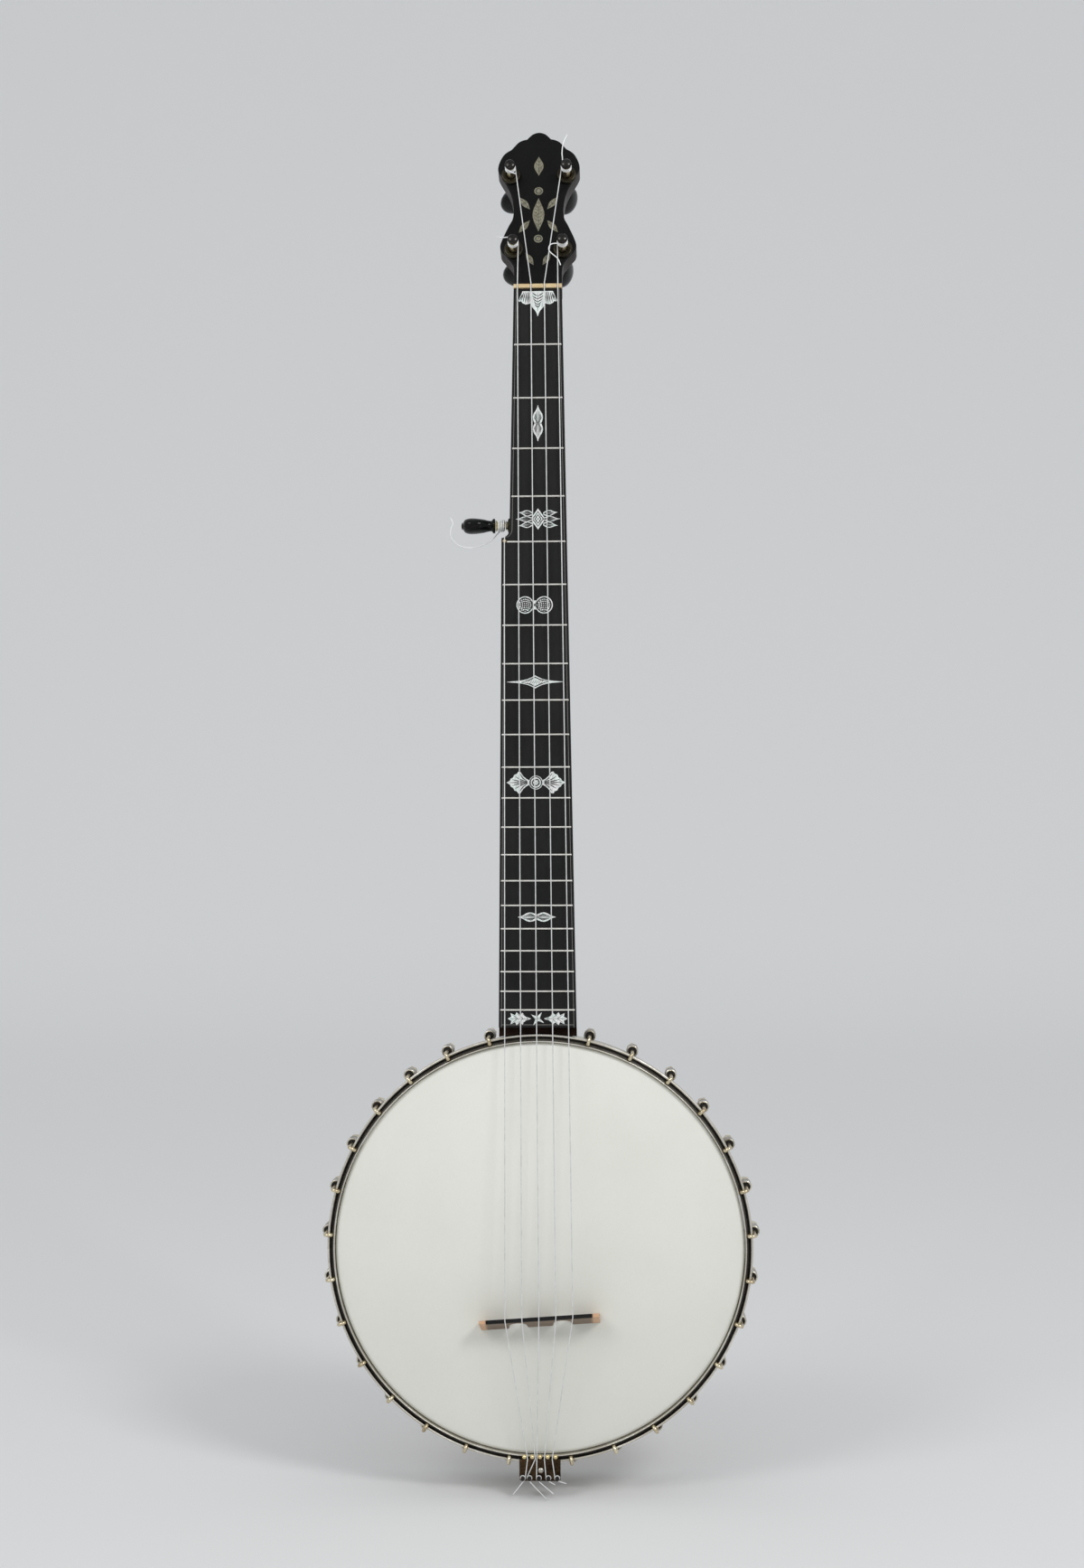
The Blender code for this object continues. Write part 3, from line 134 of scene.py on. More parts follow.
# Pot: radii, and depths behind the face of the head
HEAD_THICKNESS = 0.5 * MM
RIM_RADIUS = 133.35 * MM
SHEATH_THICKNESS = 0.8 * MM
SHEATH_BEAD = 1.7 * MM
RIM_WALL = 10.5 * MM
RIM_BACK = 60 * MM
TONE_RING_SIDE = 5 * MM
HEAD_BEND = 2.5 * MM
SKIN_SKIRT = 9.5 * MM
FLESH_HOOP = 2.6 * MM
HOOP_RIDGE = 1.2 * MM
HOOP_GROOVE = 3.1 * MM
HOOP_LIP = 0.7 * MM
HOOP_EDGE = 1.5 * MM
HOOP_DARK = 0.75 * MM
HOOP_ABOVE_HEAD = 2 * MM
HOOP_BOTTOM = 6.2 * MM
GROOVE_FLOOR = 1.6 * MM
LIP_DEPTH = -0.2 * MM
HOOP_FACETS = 280
BRACKETS_PER_SIDE = 14
FIRST_BRACKET = math.radians(13.6)
BRACKET_PITCH = math.radians(12.15)
HOOK_WIRE = 1.2 * MM
HOOK_CLAW = 1.35 * MM
HOOK_END = 34 * MM
SHOE_DEPTH = 19 * MM
SHOE_LENGTH = 10 * MM
SHOE_RADIUS = 3.9 * MM
STUD_RADIUS = 1.9 * MM
RIM_NUT_WIDTH = 7 * MM
RIM_NUT_HEIGHT = 3 * MM
HOOK_NUT_RADIUS = 3.7 * MM
HOOK_NUT_LENGTH = 12.4 * MM
DOWEL_DEPTH = 32 * MM
TENON_RADIUS = 8.5 * MM

# Tail, bridge and strings
TAILPIECE_FRONT = 0.2 * MM
TAILPIECE_LENGTH = 15.2 * MM
TAILPIECE_THICKNESS = 1.6 * MM
TAILPIECE_LIFT = 5 * MM
FINGER_SPACING = 5.05 * MM
FINGER_BEAD = 1.6 * MM
HITCH_RADIUS = 0.9 * MM
HITCH_HEIGHT = 3.6 * MM
HITCH_X = [11.2, 5.5, -0.7, -6.8, -11.1]
HITCH_INSET = 1.7 * MM
BRIDGE_SHORT_OF_SCALE = 6 * MM
BRIDGE_HEIGHT = 17 * MM
BRIDGE_TURN = math.radians(3.9)
BRIDGE_STRING_SPACING = 11 * MM
STRING_RADIUS = 0.35 * MM
TAIL_STRING_X = [8, 2.9, -2, -3, -8]

# Pegs
POST_BARREL = 2.7 * MM
POST_SHAFT = 3 * MM
POST_HEIGHT = 16 * MM
POST_TIP = 3.7 * MM
FERRULE_RADIUS = 6.8 * MM
FERRULE_HEIGHT = 2.2 * MM
COLLAR_HEIGHT = 1.5 * MM
KNOB_LENGTH = 27 * MM
KNOB_TENON = 1.7 * MM
KNOB_SHAPE = (9, 5.2)
KNOB_TURNS = [55, 50, 10, 0, 90]
FIFTH_PEG_ABOVE_FRET = 12.6 * MM
FIFTH_PEG_DEPTH = 4.6 * MM
FIFTH_SHAFT_IN_NECK = 14 * MM
FIFTH_KNOB_START = 10 * MM
FIFTH_KNOB_LENGTH = 21.5 * MM
WINDING_PITCH = 1.15 * MM
WINDING_POINTS = 24
WRAP_SWEEP = math.radians(144)
# Way round, height on the post, whole turns, and the angle where the loose end leaves
WINDINGS = [(1, 7.4 * MM, 3, 180), (1, 7.8 * MM, 3, 80), (-1, 7.8 * MM, 3, -45),
            (-1, 7.4 * MM, 3, 195), (-1, 2.7 * MM, 4, 180)]
TAILS = [[(-4, 0.4, 0.5), (-8, -1, 1), (-8.6, -6, 1.6), (-3, -12, 2), (-1, -17, 2)],
         [(0.8, 4, 0.3), (0.5, 9, 0.8), (1.3, 16, 1.3), (3.9, 22.6, 1.6)],
         [(2.2, -2, 0.3), (4.4, -3.6, 0.6), (6.6, -4.6, 0.9)],
         [(-3.4, -0.7, 0.3), (-6.6, -1, 0.6), (-9.6, -0.6, 0.9)],
         [(-4.5, 0.2, 5), (-9.6, -0.4, 9.6), (-13.2, -1, 17.6), (-14, -1, 25.6), (-11.5, -0.6, 32.1),
          (-6.5, 0, 36.2), (-1.5, 0.6, 36.6), (3, 1, 35.2), (7, 1, 37)]]
HITCH_SWEEP = math.radians(396)
TAGS = [(7.1, -1.4, -1.8), (5.6, -1.6, -2.6), (10.7, -2.4, -8.2), (12.8, -1, -12.9),
        (-7.4, -1.4, -9.1)]

# Camera, fitted to the photograph's frets, nut, posts and hoop; its focal length is in pixels
IMAGE_LONG_SIDE = 1735
FOCAL_PIXELS = 2400
CAMERA_PLACE = (0.0534, -1.4526, -0.3806)
CAMERA_TURN = (-1.345, -2.043, 0.241)

# Lamps: place, width, power, and the point they face
LAMPS = {"key": ((1.15, -1.45, 0.85), 0.6, 17, (0, 0, -0.5)),
         "fill": ((-1.3, -1.6, 1.0), 1.0, 14, (0, 0, -0.4))}
SKY = (0.86, 0.88, 0.9, 1)
SKY_STRENGTH = 0.7

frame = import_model()
cad_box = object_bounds()


# Materials

class Surface:
    """A Principled material and short ways to add texture to it, in the row's coordinates."""

    def __init__(self, name, colour, roughness, metallic=0.0, **sockets):
        self.material = bpy.data.materials.new(name)
        self.material.use_nodes = True
        self.nodes = self.material.node_tree.nodes
        self.links = self.material.node_tree.links
        self.shader = self.nodes["Principled BSDF"]
        self.set("Base Color", (*colour, 1))
        self.set("Roughness", roughness)
        self.set("Metallic", metallic)
        for socket, value in sockets.items():
            self.set(socket.replace("_", " "), value)
        self.place = self.nodes.new("ShaderNodeTexCoord").outputs["Object"]

    def set(self, socket, value):
        self.shader.inputs[socket].default_value = value

    def add(self, kind, **inputs):
        node = self.nodes.new("ShaderNode" + kind)
        for socket, value in inputs.items():
            node.inputs[socket.replace("_", " ")].default_value = value
        return node

    def noise(self, scale, detail=3.0, rough=0.55, stretch=(1, 1, 1), distortion=0.0):
        mapping = self.add("Mapping", Scale=stretch)
        self.links.new(self.place, mapping.inputs["Vector"])
        texture = self.add("TexNoise", Scale=scale, Detail=detail, Roughness=rough, Distortion=distortion)
        self.links.new(mapping.outputs["Vector"], texture.inputs["Vector"])
        return texture.outputs["Fac"]

    def along(self, axis, low, high, both_ways=False):
        """From 0 to 1 between two places on an axis."""
        parts = self.add("SeparateXYZ")
        self.links.new(self.place, parts.inputs["Vector"])
        place = parts.outputs[axis]
        if both_ways:
            size = self.add("Math")
            size.operation = "ABSOLUTE"
            self.links.new(place, size.inputs[0])
            place = size.outputs[0]
        share = self.add("MapRange", From_Min=low, From_Max=high)
        self.links.new(place, share.inputs["Value"])
        return share.outputs["Result"]

    def ramp(self, factor, stops):
        """A colour ramp; stops are (position, colour or grey)."""
        node = self.nodes.new("ShaderNodeValToRGB")
        elements = node.color_ramp.elements
        while len(elements) < len(stops):
            elements.new(0.5)
        for element, (position, colour) in zip(elements, stops):
            colour = (colour,) * 3 if isinstance(colour, (int, float)) else colour
            element.position = position
            element.color = (*colour, 1)
        self.links.new(factor, node.inputs["Fac"])
        return node.outputs["Color"]

    def mix(self, factor, first, second, mode="MIX"):
        node = self.nodes.new("ShaderNodeMix")
        node.data_type = "RGBA"
        node.blend_type = mode
        for socket, value in ((node.inputs[0], factor), (node.inputs[6], first), (node.inputs[7], second)):
            if isinstance(value, (int, float)):
                socket.default_value = value
            elif isinstance(value, tuple):
                socket.default_value = (*value, 1)
            else:
                self.links.new(value, socket)
        return node.outputs[2]

    def shade(self, base, factor, stops, amount):
        """A base colour times a ramp."""
        return self.mix(amount, base, self.ramp(factor, stops), "MULTIPLY")

    def colour(self, output):
        self.links.new(output, self.shader.inputs["Base Color"])

    def rough(self, factor, low, high):
        self.links.new(self.ramp(factor, [(0.3, low), (0.7, high)]), self.shader.inputs["Roughness"])

    def bump(self, height, depth, strength):
        node = self.add("Bump", Distance=depth, Strength=strength)
        self.links.new(height, node.inputs["Height"])
        self.links.new(node.outputs["Normal"], self.shader.inputs["Normal"])


def make_wood(name, dark, light, roughness, coat, shine=0.5):
    s = Surface(name, dark, roughness, Coat_Weight=coat, Coat_Roughness=0.15, Specular_IOR_Level=shine,
                Specular_Tint=(2 * shine, 2 * shine, 2 * shine, 1))
    figure = s.noise(60, 4, 0.6, (1, 1, 0.07), 1.2)
    grain = s.noise(2600, 3, 0.6, (1, 1, 0.03))
    base = s.ramp(figure, [(0.3, dark), (0.7, light)])
    s.colour(s.shade(base, grain, [(0.35, 0.55), (0.6, 1.0)], 0.8))
    s.rough(figure, roughness - 0.06, roughness + 0.1)
    s.bump(grain, 0.05 * MM, 0.5)
    return s.material


def make_metal(name, clean, tarnish, roughness, share=0.5, metallic=1.0):
    """Aged metal: tarnish in cloudy patches and small spots, duller where it lies."""
    s = Surface(name, clean, roughness, metallic)
    clouds = s.noise(55, 5, 0.62, distortion=0.6)
    both = s.mix(0.35, clouds, s.noise(900, 3, 0.6))
    cover = s.ramp(both, [(share - 0.12, 0.0), (share + 0.14, 1.0)])
    s.colour(s.mix(cover, clean, tarnish))
    s.rough(both, roughness, roughness + 0.28)
    s.bump(s.noise(2600, 2, 0.5), 0.02 * MM, 0.35)
    return s.material


def make_ebony():
    s = Surface("ebony", (0.014, 0.013, 0.013), 0.46, Specular_IOR_Level=0.25,
                Specular_Tint=(0.7, 0.7, 0.7, 1))
    wear = s.noise(45, 5, 0.65, (1, 1, 0.35), 0.4)
    grain = s.noise(3200, 3, 0.6, (1, 1, 0.025))
    base = s.ramp(wear, [(0.3, (0.008, 0.0078, 0.0076)), (0.75, (0.016, 0.0157, 0.0153))])
    s.colour(s.shade(base, grain, [(0.35, 0.5), (0.62, 1.0)], 0.6))
    s.rough(wear, 0.38, 0.56)
    s.bump(grain, 0.04 * MM, 0.5)
    return s.material


def make_overlay_black():
    s = Surface("peghead_black", (0.006, 0.006, 0.006), 0.3, Specular_IOR_Level=0.16,
                Specular_Tint=(0.6, 0.6, 0.6, 1))
    grain = s.noise(2600, 3, 0.6, (1, 1, 0.03))
    s.colour(s.ramp(grain, [(0.35, 0.003), (0.7, (0.007, 0.0068, 0.0065))]))
    s.rough(s.noise(38, 4, 0.6), 0.24, 0.42)
    s.bump(grain, 0.02 * MM, 0.3)
    return s.material


def make_pearl(name, low, high, *tints):
    s = Surface(name, low, 0.24, Coat_Weight=0.4, Coat_Roughness=0.12)
    waves = s.noise(520, 4, 0.6, (1, 1, 0.4), 1.8)
    tint = s.noise(160, 2, 0.5, distortion=1.0)
    base = s.ramp(waves, [(0.3, low), (0.62, high)])
    s.colour(s.shade(base, tint, list(zip((0.35, 0.65), tints)), 0.35))
    s.rough(waves, 0.16, 0.34)
    return s.material


def make_skin():
    """Painted shade: a little darker towards the tail, as if lit from above."""
    s = Surface("skin", (0.80, 0.80, 0.74), 0.62, Specular_IOR_Level=0.3)
    clouds = s.noise(14, 4, 0.55)
    fibres = s.noise(700, 4, 0.65, (1, 1, 0.6), 1.0)
    base = s.ramp(clouds, [(0.3, (0.755, 0.76, 0.695)), (0.7, (0.80, 0.80, 0.74))])
    base = s.shade(base, fibres, [(0.3, 0.55), (0.7, 1.0)], 0.06)
    # Painted shade: the skin's colour falls to 0.86 towards the tail.
    s.colour(s.shade(base, s.along("Z", -0.79, -0.55), [(0, 0.86), (1, 1.0)], 1.0))
    s.rough(clouds, 0.55, 0.7)
    s.bump(fibres, 0.03 * MM, 0.35)
    return s.material


def make_gut(name, level):
    s = Surface(name, (level, level, level), 0.3)
    low, high = 0.88 * level, 1.06 * level
    s.colour(s.ramp(s.noise(240, 2), [(0.35, (0.99 * low, low, 0.99 * low)),
                                      (0.65, (0.99 * high, high, 0.99 * high))]))
    return s.material


def make_black_knob():
    s = Surface("black_knob", (0.003, 0.003, 0.0035), 0.07, Specular_IOR_Level=0.14)
    s.rough(s.noise(420, 4), 0.05, 0.1)
    s.colour(s.ramp(s.noise(120, 3), [(0.3, 0.003), (0.7, 0.006)]))
    return s.material


def make_bone():
    s = Surface("bone", (0.66, 0.50, 0.28), 0.42)
    streaks = s.noise(900, 3, 0.6, (0.12, 1, 1))
    s.colour(s.ramp(streaks, [(0.3, (0.50, 0.35, 0.16)), (0.7, (0.74, 0.60, 0.37))]))
    s.bump(streaks, 0.02 * MM, 0.4)
    return s.material


def make_plain(name, colour, roughness):
    s = Surface(name, colour, roughness)
    stops = [(place, tuple(share * c for c in colour)) for place, share in ((0.3, 0.8), (0.7, 1.15))]
    s.colour(s.ramp(s.noise(1500, 3), stops))
    return s.material


def make_bridge_wood():
    """Light at its two ends and darker between them: painted shade on the face under the cap."""
    s = Surface("bridge_maple", (0.5, 0.3, 0.17), 0.5)
    figure = s.noise(90, 4, 0.6, (0.2, 1, 1), 0.8)
    grain = s.noise(2400, 3, 0.6, (0.04, 1, 1))
    light = s.ramp(figure, [(0.3, (0.62, 0.36, 0.20)), (0.7, (0.74, 0.47, 0.29))])
    dark = s.ramp(figure, [(0.3, (0.15, 0.10, 0.07)), (0.7, (0.26, 0.18, 0.12))])
    # Painted shade: the wood between the two ends is painted darker than at the ends.
    base = s.mix(s.along("X", 33.5 * MM, 35.5 * MM, both_ways=True), dark, light)
    s.colour(s.shade(base, grain, [(0.35, 0.6), (0.6, 1.0)], 0.6))
    s.bump(grain, 0.04 * MM, 0.4)
    return s.material


def make_floor():
    """Pale, and a little paler far behind, where less light falls on it."""
    s = Surface("floor", (0.72, 0.72, 0.72), 0.8, Specular_IOR_Level=0.2)
    s.colour(s.ramp(s.along("Y", -0.5, 4), [(0, 0.72), (1, 0.94)]))
    return s.material


# Clean colour, tarnish, roughness, where the tarnish begins, metallic
METALS = {
    "nickel_silver": ((0.82, 0.80, 0.73), (0.24, 0.21, 0.16), 0.16, 0.52),
    "sheath_nickel": ((0.70, 0.68, 0.63), (0.47, 0.44, 0.39), 0.2),
    "lip_nickel": ((0.90, 0.88, 0.82), (0.55, 0.52, 0.45), 0.2, 0.4, 0.8),
    # The next entry is painted shade: a darker nickel for the hoop's slope, standing in for a dark
    # reflection.
    "slope_shade_nickel": ((0.42, 0.40, 0.36), (0.12, 0.105, 0.085), 0.24),
    # The next entry is a painted dark reflection: polished nickel painted near black, for the post caps and
    # hitch posts.
    "dark_nickel": ((0.045, 0.043, 0.041), (0.014, 0.013, 0.012), 0.08, 0.55),
    # The next entry is painted shade: a near-black metal for the hoop's groove, where shade falls.
    "tarnish": ((0.075, 0.068, 0.058), (0.014, 0.012, 0.010), 0.38, 0.45),
    "dark_steel": ((0.20, 0.18, 0.155), (0.07, 0.05, 0.036), 0.4),
    "fret_metal": ((0.92, 0.90, 0.85), (0.62, 0.58, 0.50), 0.22, 0.6, 0.7),
    "post_metal": ((0.70, 0.61, 0.40), (0.16, 0.125, 0.075), 0.16),
    "dull_bronze": ((0.055, 0.048, 0.033), (0.014, 0.012, 0.009), 0.26, 0.48),
    "brass": ((0.56, 0.41, 0.20), (0.18, 0.10, 0.04), 0.16, 0.54),
    "bead_brass": ((0.86, 0.70, 0.38), (0.40, 0.27, 0.11), 0.12, 0.6),
    "hook_metal": ((0.80, 0.72, 0.53), (0.30, 0.20, 0.085), 0.14, 0.55),
    "tail_brass": ((0.09, 0.056, 0.028), (0.014, 0.009, 0.007), 0.16, 0.47),
}
LOOKS = {name: make_metal(name, *values) for name, values in METALS.items()}
LOOKS |= {
    "neck_wood": make_wood("neck_wood", (0.010, 0.005, 0.004), (0.024, 0.013, 0.009), 0.36, 0, shine=0.1),
    "maple": make_wood("maple", (0.42, 0.235, 0.115), (0.60, 0.38, 0.215), 0.42, 0.15),
    "pearl": make_pearl("pearl", (0.50, 0.54, 0.53), (0.86, 0.89, 0.87), (1.0, 0.86, 0.88),
                        (0.82, 1.0, 0.94)),
    "dim_pearl": make_pearl("dim_pearl", (0.10, 0.095, 0.065), (0.24, 0.225, 0.16), (1.0, 0.9, 0.8),
                            (0.85, 1.0, 0.9)),
    "ebony": make_ebony(),
    "peghead_black": make_overlay_black(),
    "bone": make_bone(),
    "bridge_maple": make_bridge_wood(),
    "skin": make_skin(),
    "black_knob": make_black_knob(),
    # Painted shade: gut is the same gut as gut_white on the pegs, painted darker for the strings.
    "gut": make_gut("gut", 0.66),
    "gut_white": make_gut("gut_white", 0.86),
    "engraving": make_plain("engraving", (0.014, 0.013, 0.012), 0.6),
    "line": make_plain("line", (0.20, 0.20, 0.185), 0.5),
}


# Mesh helpers

def finish_piece(name, mesh, look, replaces=(), body=BODY, smooth=40):
    """Give a mesh its material and its body, and let it stand for CAD nodes."""
    piece = bpy.data.objects.new(name, mesh)
    bpy.context.collection.objects.link(piece)
    mesh.materials.append(LOOKS[look])
    if smooth and piece.type == "MESH":
        mesh.shade_smooth()
        mesh.set_sharp_from_angle(angle=math.radians(smooth))
    if replaces:
        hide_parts(*replaces)
    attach(piece, body)
    return piece


def add_mesh(name, bm, look, replaces=(), body=BODY, smooth=40):
    bmesh.ops.recalc_face_normals(bm, faces=bm.faces)
    mesh = bpy.data.meshes.new(name)
    bm.to_mesh(mesh)
    bm.free()
    return finish_piece(name, mesh, look, replaces, body, smooth)


def from_node(node, look, width):
    """A copy of a CAD node's mesh with its flat faces whole again and its edges softened."""
    bm = bmesh.new()
    bm.from_mesh(frame["nodes"][node].data)
    bmesh.ops.remove_doubles(bm, verts=bm.verts, dist=0.002 * MM)
    bmesh.ops.dissolve_limit(bm, angle_limit=math.radians(1), verts=bm.verts, edges=bm.edges)
    piece = add_mesh(f"{node}_finished", bm, look, [node], frame["nodes"][node]["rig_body"])
    modifier = piece.modifiers.new("soft_edges", "BEVEL")
    modifier.width = width
    modifier.segments = 2
    modifier.limit_method = "ANGLE"
    modifier.angle_limit = math.radians(35)


def boolean(piece, bm, operation="DIFFERENCE"):
    """Cut or join, applied at once."""
    bmesh.ops.recalc_face_normals(bm, faces=bm.faces)
    mesh = bpy.data.meshes.new("operand")
    bm.to_mesh(mesh)
    bm.free()
    operand = bpy.data.objects.new("operand", mesh)
    bpy.context.collection.objects.link(operand)
    modifier = piece.modifiers.new("operand", "BOOLEAN")
    modifier.operation = operation
    modifier.solver = "EXACT"
    modifier.object = operand
    graph = bpy.context.evaluated_depsgraph_get()
    made = bpy.data.meshes.new_from_object(piece.evaluated_get(graph))
    piece.modifiers.clear()
    old = piece.data
    piece.data = made
    bpy.data.meshes.remove(old)
    bpy.data.objects.remove(operand)
    made.shade_smooth()
    made.set_sharp_from_angle(angle=math.radians(40))


def ring_faces(bm, loops, closed):
    pairs = list(zip(loops, loops[1:]))
    if closed:
        pairs.append((loops[-1], loops[0]))
    faces = []
    for first, second in pairs:
        count = len(first)
        for i in range(count):
            j = (i + 1) % count
            faces.append(bm.faces.new((first[i], first[j], second[j], second[i])))
    return faces


def loft(bm, sections):
    loops = [[bm.verts.new(point) for point in section] for section in sections]
    ring_faces(bm, loops, False)
    bm.faces.new(loops[0])
    bm.faces.new(loops[-1])


def prism(bm, outline, low, high, matrix=Matrix()):
    """Extrude an outline of (x, z) points from depth low to depth high."""
    loft(bm, [[matrix @ Vector((x, y, z)) for x, z in outline] for y in (low, high)])


def even_angles(count):
    return [2 * math.pi * i / count for i in range(count)]


def turned(bm, profile, count, matrix=Matrix(), tube=False):
    """Turn a profile about Z; points are (radius, height) or (radius x, radius y, height)."""
    loops = []
    for point in profile:
        rx, ry, height = point if len(point) == 3 else (point[0], point[0], point[1])
        loops.append([bm.verts.new(matrix @ Vector((rx * math.cos(a), ry * math.sin(a), height)))
                      for a in even_angles(count)])
    ring_faces(bm, loops, tube)
    if not tube:
        bm.faces.new(loops[0])
        bm.faces.new(loops[-1])


def arc(centre, radius, start, end, steps):
    angles = [math.radians(start + (end - start) * i / steps) for i in range(steps + 1)]
    return [(centre[0] + radius * math.cos(a), centre[1] + radius * math.sin(a)) for a in angles]


def turned_piece(name, profile, count, matrix, look, replaces=(), body=BODY, smooth=40, tube=False):
    bm = bmesh.new()
    turned(bm, profile, count, matrix, tube)
    return add_mesh(name, bm, look, replaces, body, smooth)


def drill(piece, radius, holes, count=24):
    """Bore round holes, each given as its frame and its two ends."""
    bm = bmesh.new()
    for place, low, high in holes:
        turned(bm, [(radius, low), (radius, high)], count, place)
    boolean(piece, bm)


def smooth_path(points, per=6):
    """A Catmull-Rom curve through points of any dimension."""
    points = [Vector(p) for p in points]
    ends = [2 * points[0] - points[1]] + points + [2 * points[-1] - points[-2]]
    path = []
    for a, b, c, d in zip(ends, ends[1:], ends[2:], ends[3:]):
        for i in range(per):
            t = i / per
            path.append(0.5 * (2 * b + t * (c - a) + t * t * (2 * a - 5 * b + 4 * c - d)
                               + t ** 3 * (3 * b - a - 3 * c + d)))
    return path + [points[-1]]


def smooth_step(value):
    value = min(1, max(0, value))
    return value * value * (3 - 2 * value)


# Frames and places

nut_matrix = Matrix.Rotation(-NECK_SET_ANGLE, 4, "X") @ Matrix.Translation((0, 0, -NUT_BELOW_HANGER))
peghead_matrix = nut_matrix @ Matrix.Rotation(-PEGHEAD_ANGLE, 4, "X")
flat = math.cos(BRACKET_PITCH / 4)
wood_radius = RIM_RADIUS - SHEATH_THICKNESS - GAP
wood_inner = wood_radius - RIM_WALL
skin_inner = RIM_RADIUS + GAP
skin_outer = skin_inner + HEAD_THICKNESS
hoop_inner = skin_outer + GAP
hoop_outer = hoop_inner + HOOP_RIDGE + HOOP_GROOVE + HOOP_LIP
tone_top = HEAD_THICKNESS + GAP
rim_top = tone_top + TONE_RING_SIDE + GAP
hook_circle = hoop_outer + GAP + HOOK_WIRE
heel_end = RIM_RADIUS + GAP
overlay_face = -GAP - OVERLAY_THICKNESS


def fret_from_nut(number):
    return SCALE_LENGTH * (1 - 2 ** (-number / 12))


board_end = fret_from_nut(LAST_FRET)
nut_to_pot = board_end + BOARD_END_TO_HOOP + hoop_outer
heel_start = nut_to_pot - heel_end - HEEL_LENGTH
heel_flat_start = nut_to_pot - heel_end - HEEL_FLAT_LENGTH
step_corner = fret_from_nut(5) - STEP_ABOVE_FRET
pip_from_nut = fret_from_nut(5) - PIP_ABOVE_FRET
fifth_peg_from_nut = fret_from_nut(5) - FIFTH_PEG_ABOVE_FRET
board_face_end = nut_matrix @ Vector((0, -BOARD_THICKNESS, -board_end))
pot_centre = nut_matrix @ Vector((0, 0, -nut_to_pot))
pot_matrix = Matrix.Translation((0, board_face_end.y + BOARD_PROUD_OF_HEAD, pot_centre.z))


def half_width_treble(s):
    return NUT_HALF_WIDTH + (END_HALF_WIDTH_TREBLE - NUT_HALF_WIDTH) * s / board_end


def half_width_bass(s):
    cove_start = step_corner - STEP_COVE_RADIUS
    if s <= cove_start:
        return half_width_treble(s)
    if s < step_corner:
        depth = STEP_COVE_RADIUS - math.sqrt(STEP_COVE_RADIUS ** 2 - (s - cove_start) ** 2)
        return min(STEP_HALF_WIDTH, half_width_treble(cove_start) + depth)
    run = (s - step_corner) / (board_end - step_corner)
    return STEP_HALF_WIDTH + (END_HALF_WIDTH_BASS - STEP_HALF_WIDTH) * run


def board_middle(s):
    return (half_width_treble(s) - half_width_bass(s)) / 2


def cove_stations(steps=10):
    cove_start = step_corner - STEP_COVE_RADIUS
    reach = STEP_HALF_WIDTH - half_width_treble(cove_start)
    last = math.acos(1 - reach / STEP_COVE_RADIUS)
    return [cove_start + STEP_COVE_RADIUS * math.sin(last * i / steps) for i in range(steps + 1)]


def board_outline(start, end, inset):
    stations = [start] + cove_stations() + [step_corner, end]
    bass = [(-half_width_bass(s) + inset, -s) for s in stations]
    return bass + [(half_width_treble(s) - inset, -s) for s in (end, start)]


def bracket_angles():
    right = [FIRST_BRACKET + k * BRACKET_PITCH for k in range(BRACKETS_PER_SIDE)]
    return right + [-a for a in right]


def outwards(angle):
    return Matrix.Rotation(angle, 4, "Y")


def to_back(radius, angle=0, x=0):
    place = Matrix.Translation((x, 0, radius)) @ Matrix.Rotation(-math.pi / 2, 4, "X")
    return outwards(angle) @ place


def standing(x, y, z):
    return Matrix.Translation((x, y, z)) @ Matrix.Rotation(math.pi / 2, 4, "X")


def post_places():
    lower, upper = [(x * PEGHEAD_HALF_WIDTH, z * PEGHEAD_LENGTH) for x, z in (LOWER_POST, UPPER_POST)]
    return [lower, upper, (-upper[0], upper[1]), (-lower[0], lower[1])]


def post_matrix(x, z):
    return peghead_matrix @ standing(x, overlay_face, z)


def fifth_matrix():
    s = fifth_peg_from_nut
    place = Matrix.Translation((-half_width_treble(s), FIFTH_PEG_DEPTH, -s))
    return nut_matrix @ place @ Matrix.Rotation(-math.pi / 2, 4, "Y")


def peg_matrices():
    return [post_matrix(x, z) for x, z in post_places()] + [fifth_matrix()]


# Neck and peghead

def heel_share(s):
    return smooth_step((s - heel_start) / (heel_flat_start - heel_start))


def neck_depth(s):
    shaft = NECK_DEPTH_NUT + (NECK_DEPTH_MIDDLE - NECK_DEPTH_NUT) * min(1, s / heel_start)
    return shaft + (HEEL_DEPTH - shaft) * heel_share(s)


def neck_section(s, shrink=1):
    right, left = [], []
    for i in range(13):
        level = math.sin(math.pi / 2 * i / 12)
        shaft = math.sqrt(max(0, 1 - level ** 2.3)) * 0.92 + 0.08
        heel = 1 - (1 - HEEL_KEEL_SHARE) * level ** 0.8
        share = (shaft + (heel - shaft) * heel_share(s)) * shrink
        right.append((half_width_treble(s) * share, neck_depth(s) * level, -s))
        left.append((-half_width_bass(s) * share, neck_depth(s) * level, -s))
    return right + left[::-1]


def peghead_outline(start):
    """The lobes and waist as smooth curves that meet in cusps at the crown; (x, z) above the nut."""
    def scaled(points):
        return [Vector((x * PEGHEAD_HALF_WIDTH, z * PEGHEAD_LENGTH)) for x, z in points]
    side = scaled(PEGHEAD_SIDE)
    share = start / side[0].y
    first = Vector((NUT_HALF_WIDTH + (side[0].x - NUT_HALF_WIDTH) * share, start))
    right = smooth_path([first] + side, 5)[:-1] + smooth_path(scaled(PEGHEAD_SHOULDER), 4)[:-1]
    crown = smooth_path(scaled(PEGHEAD_CROWN), 5)
    half = crown[:len(crown) // 2]
    right += half
    return [tuple(p) for p in right] + [(0, PEGHEAD_LENGTH)] + [(-x, z) for x, z in reversed(right)]


def inset(outline, distance):
    """Move each point of an outline inwards; the outline runs anticlockwise seen from its front."""
    moved = []
    count = len(outline)
    for i, point in enumerate(outline):
        before, after = Vector(outline[i - 1]), Vector(outline[(i + 1) % count])
        along = (after - before).normalized()
        moved.append((point[0] - along.y * distance, point[1] + along.x * distance))
    return moved


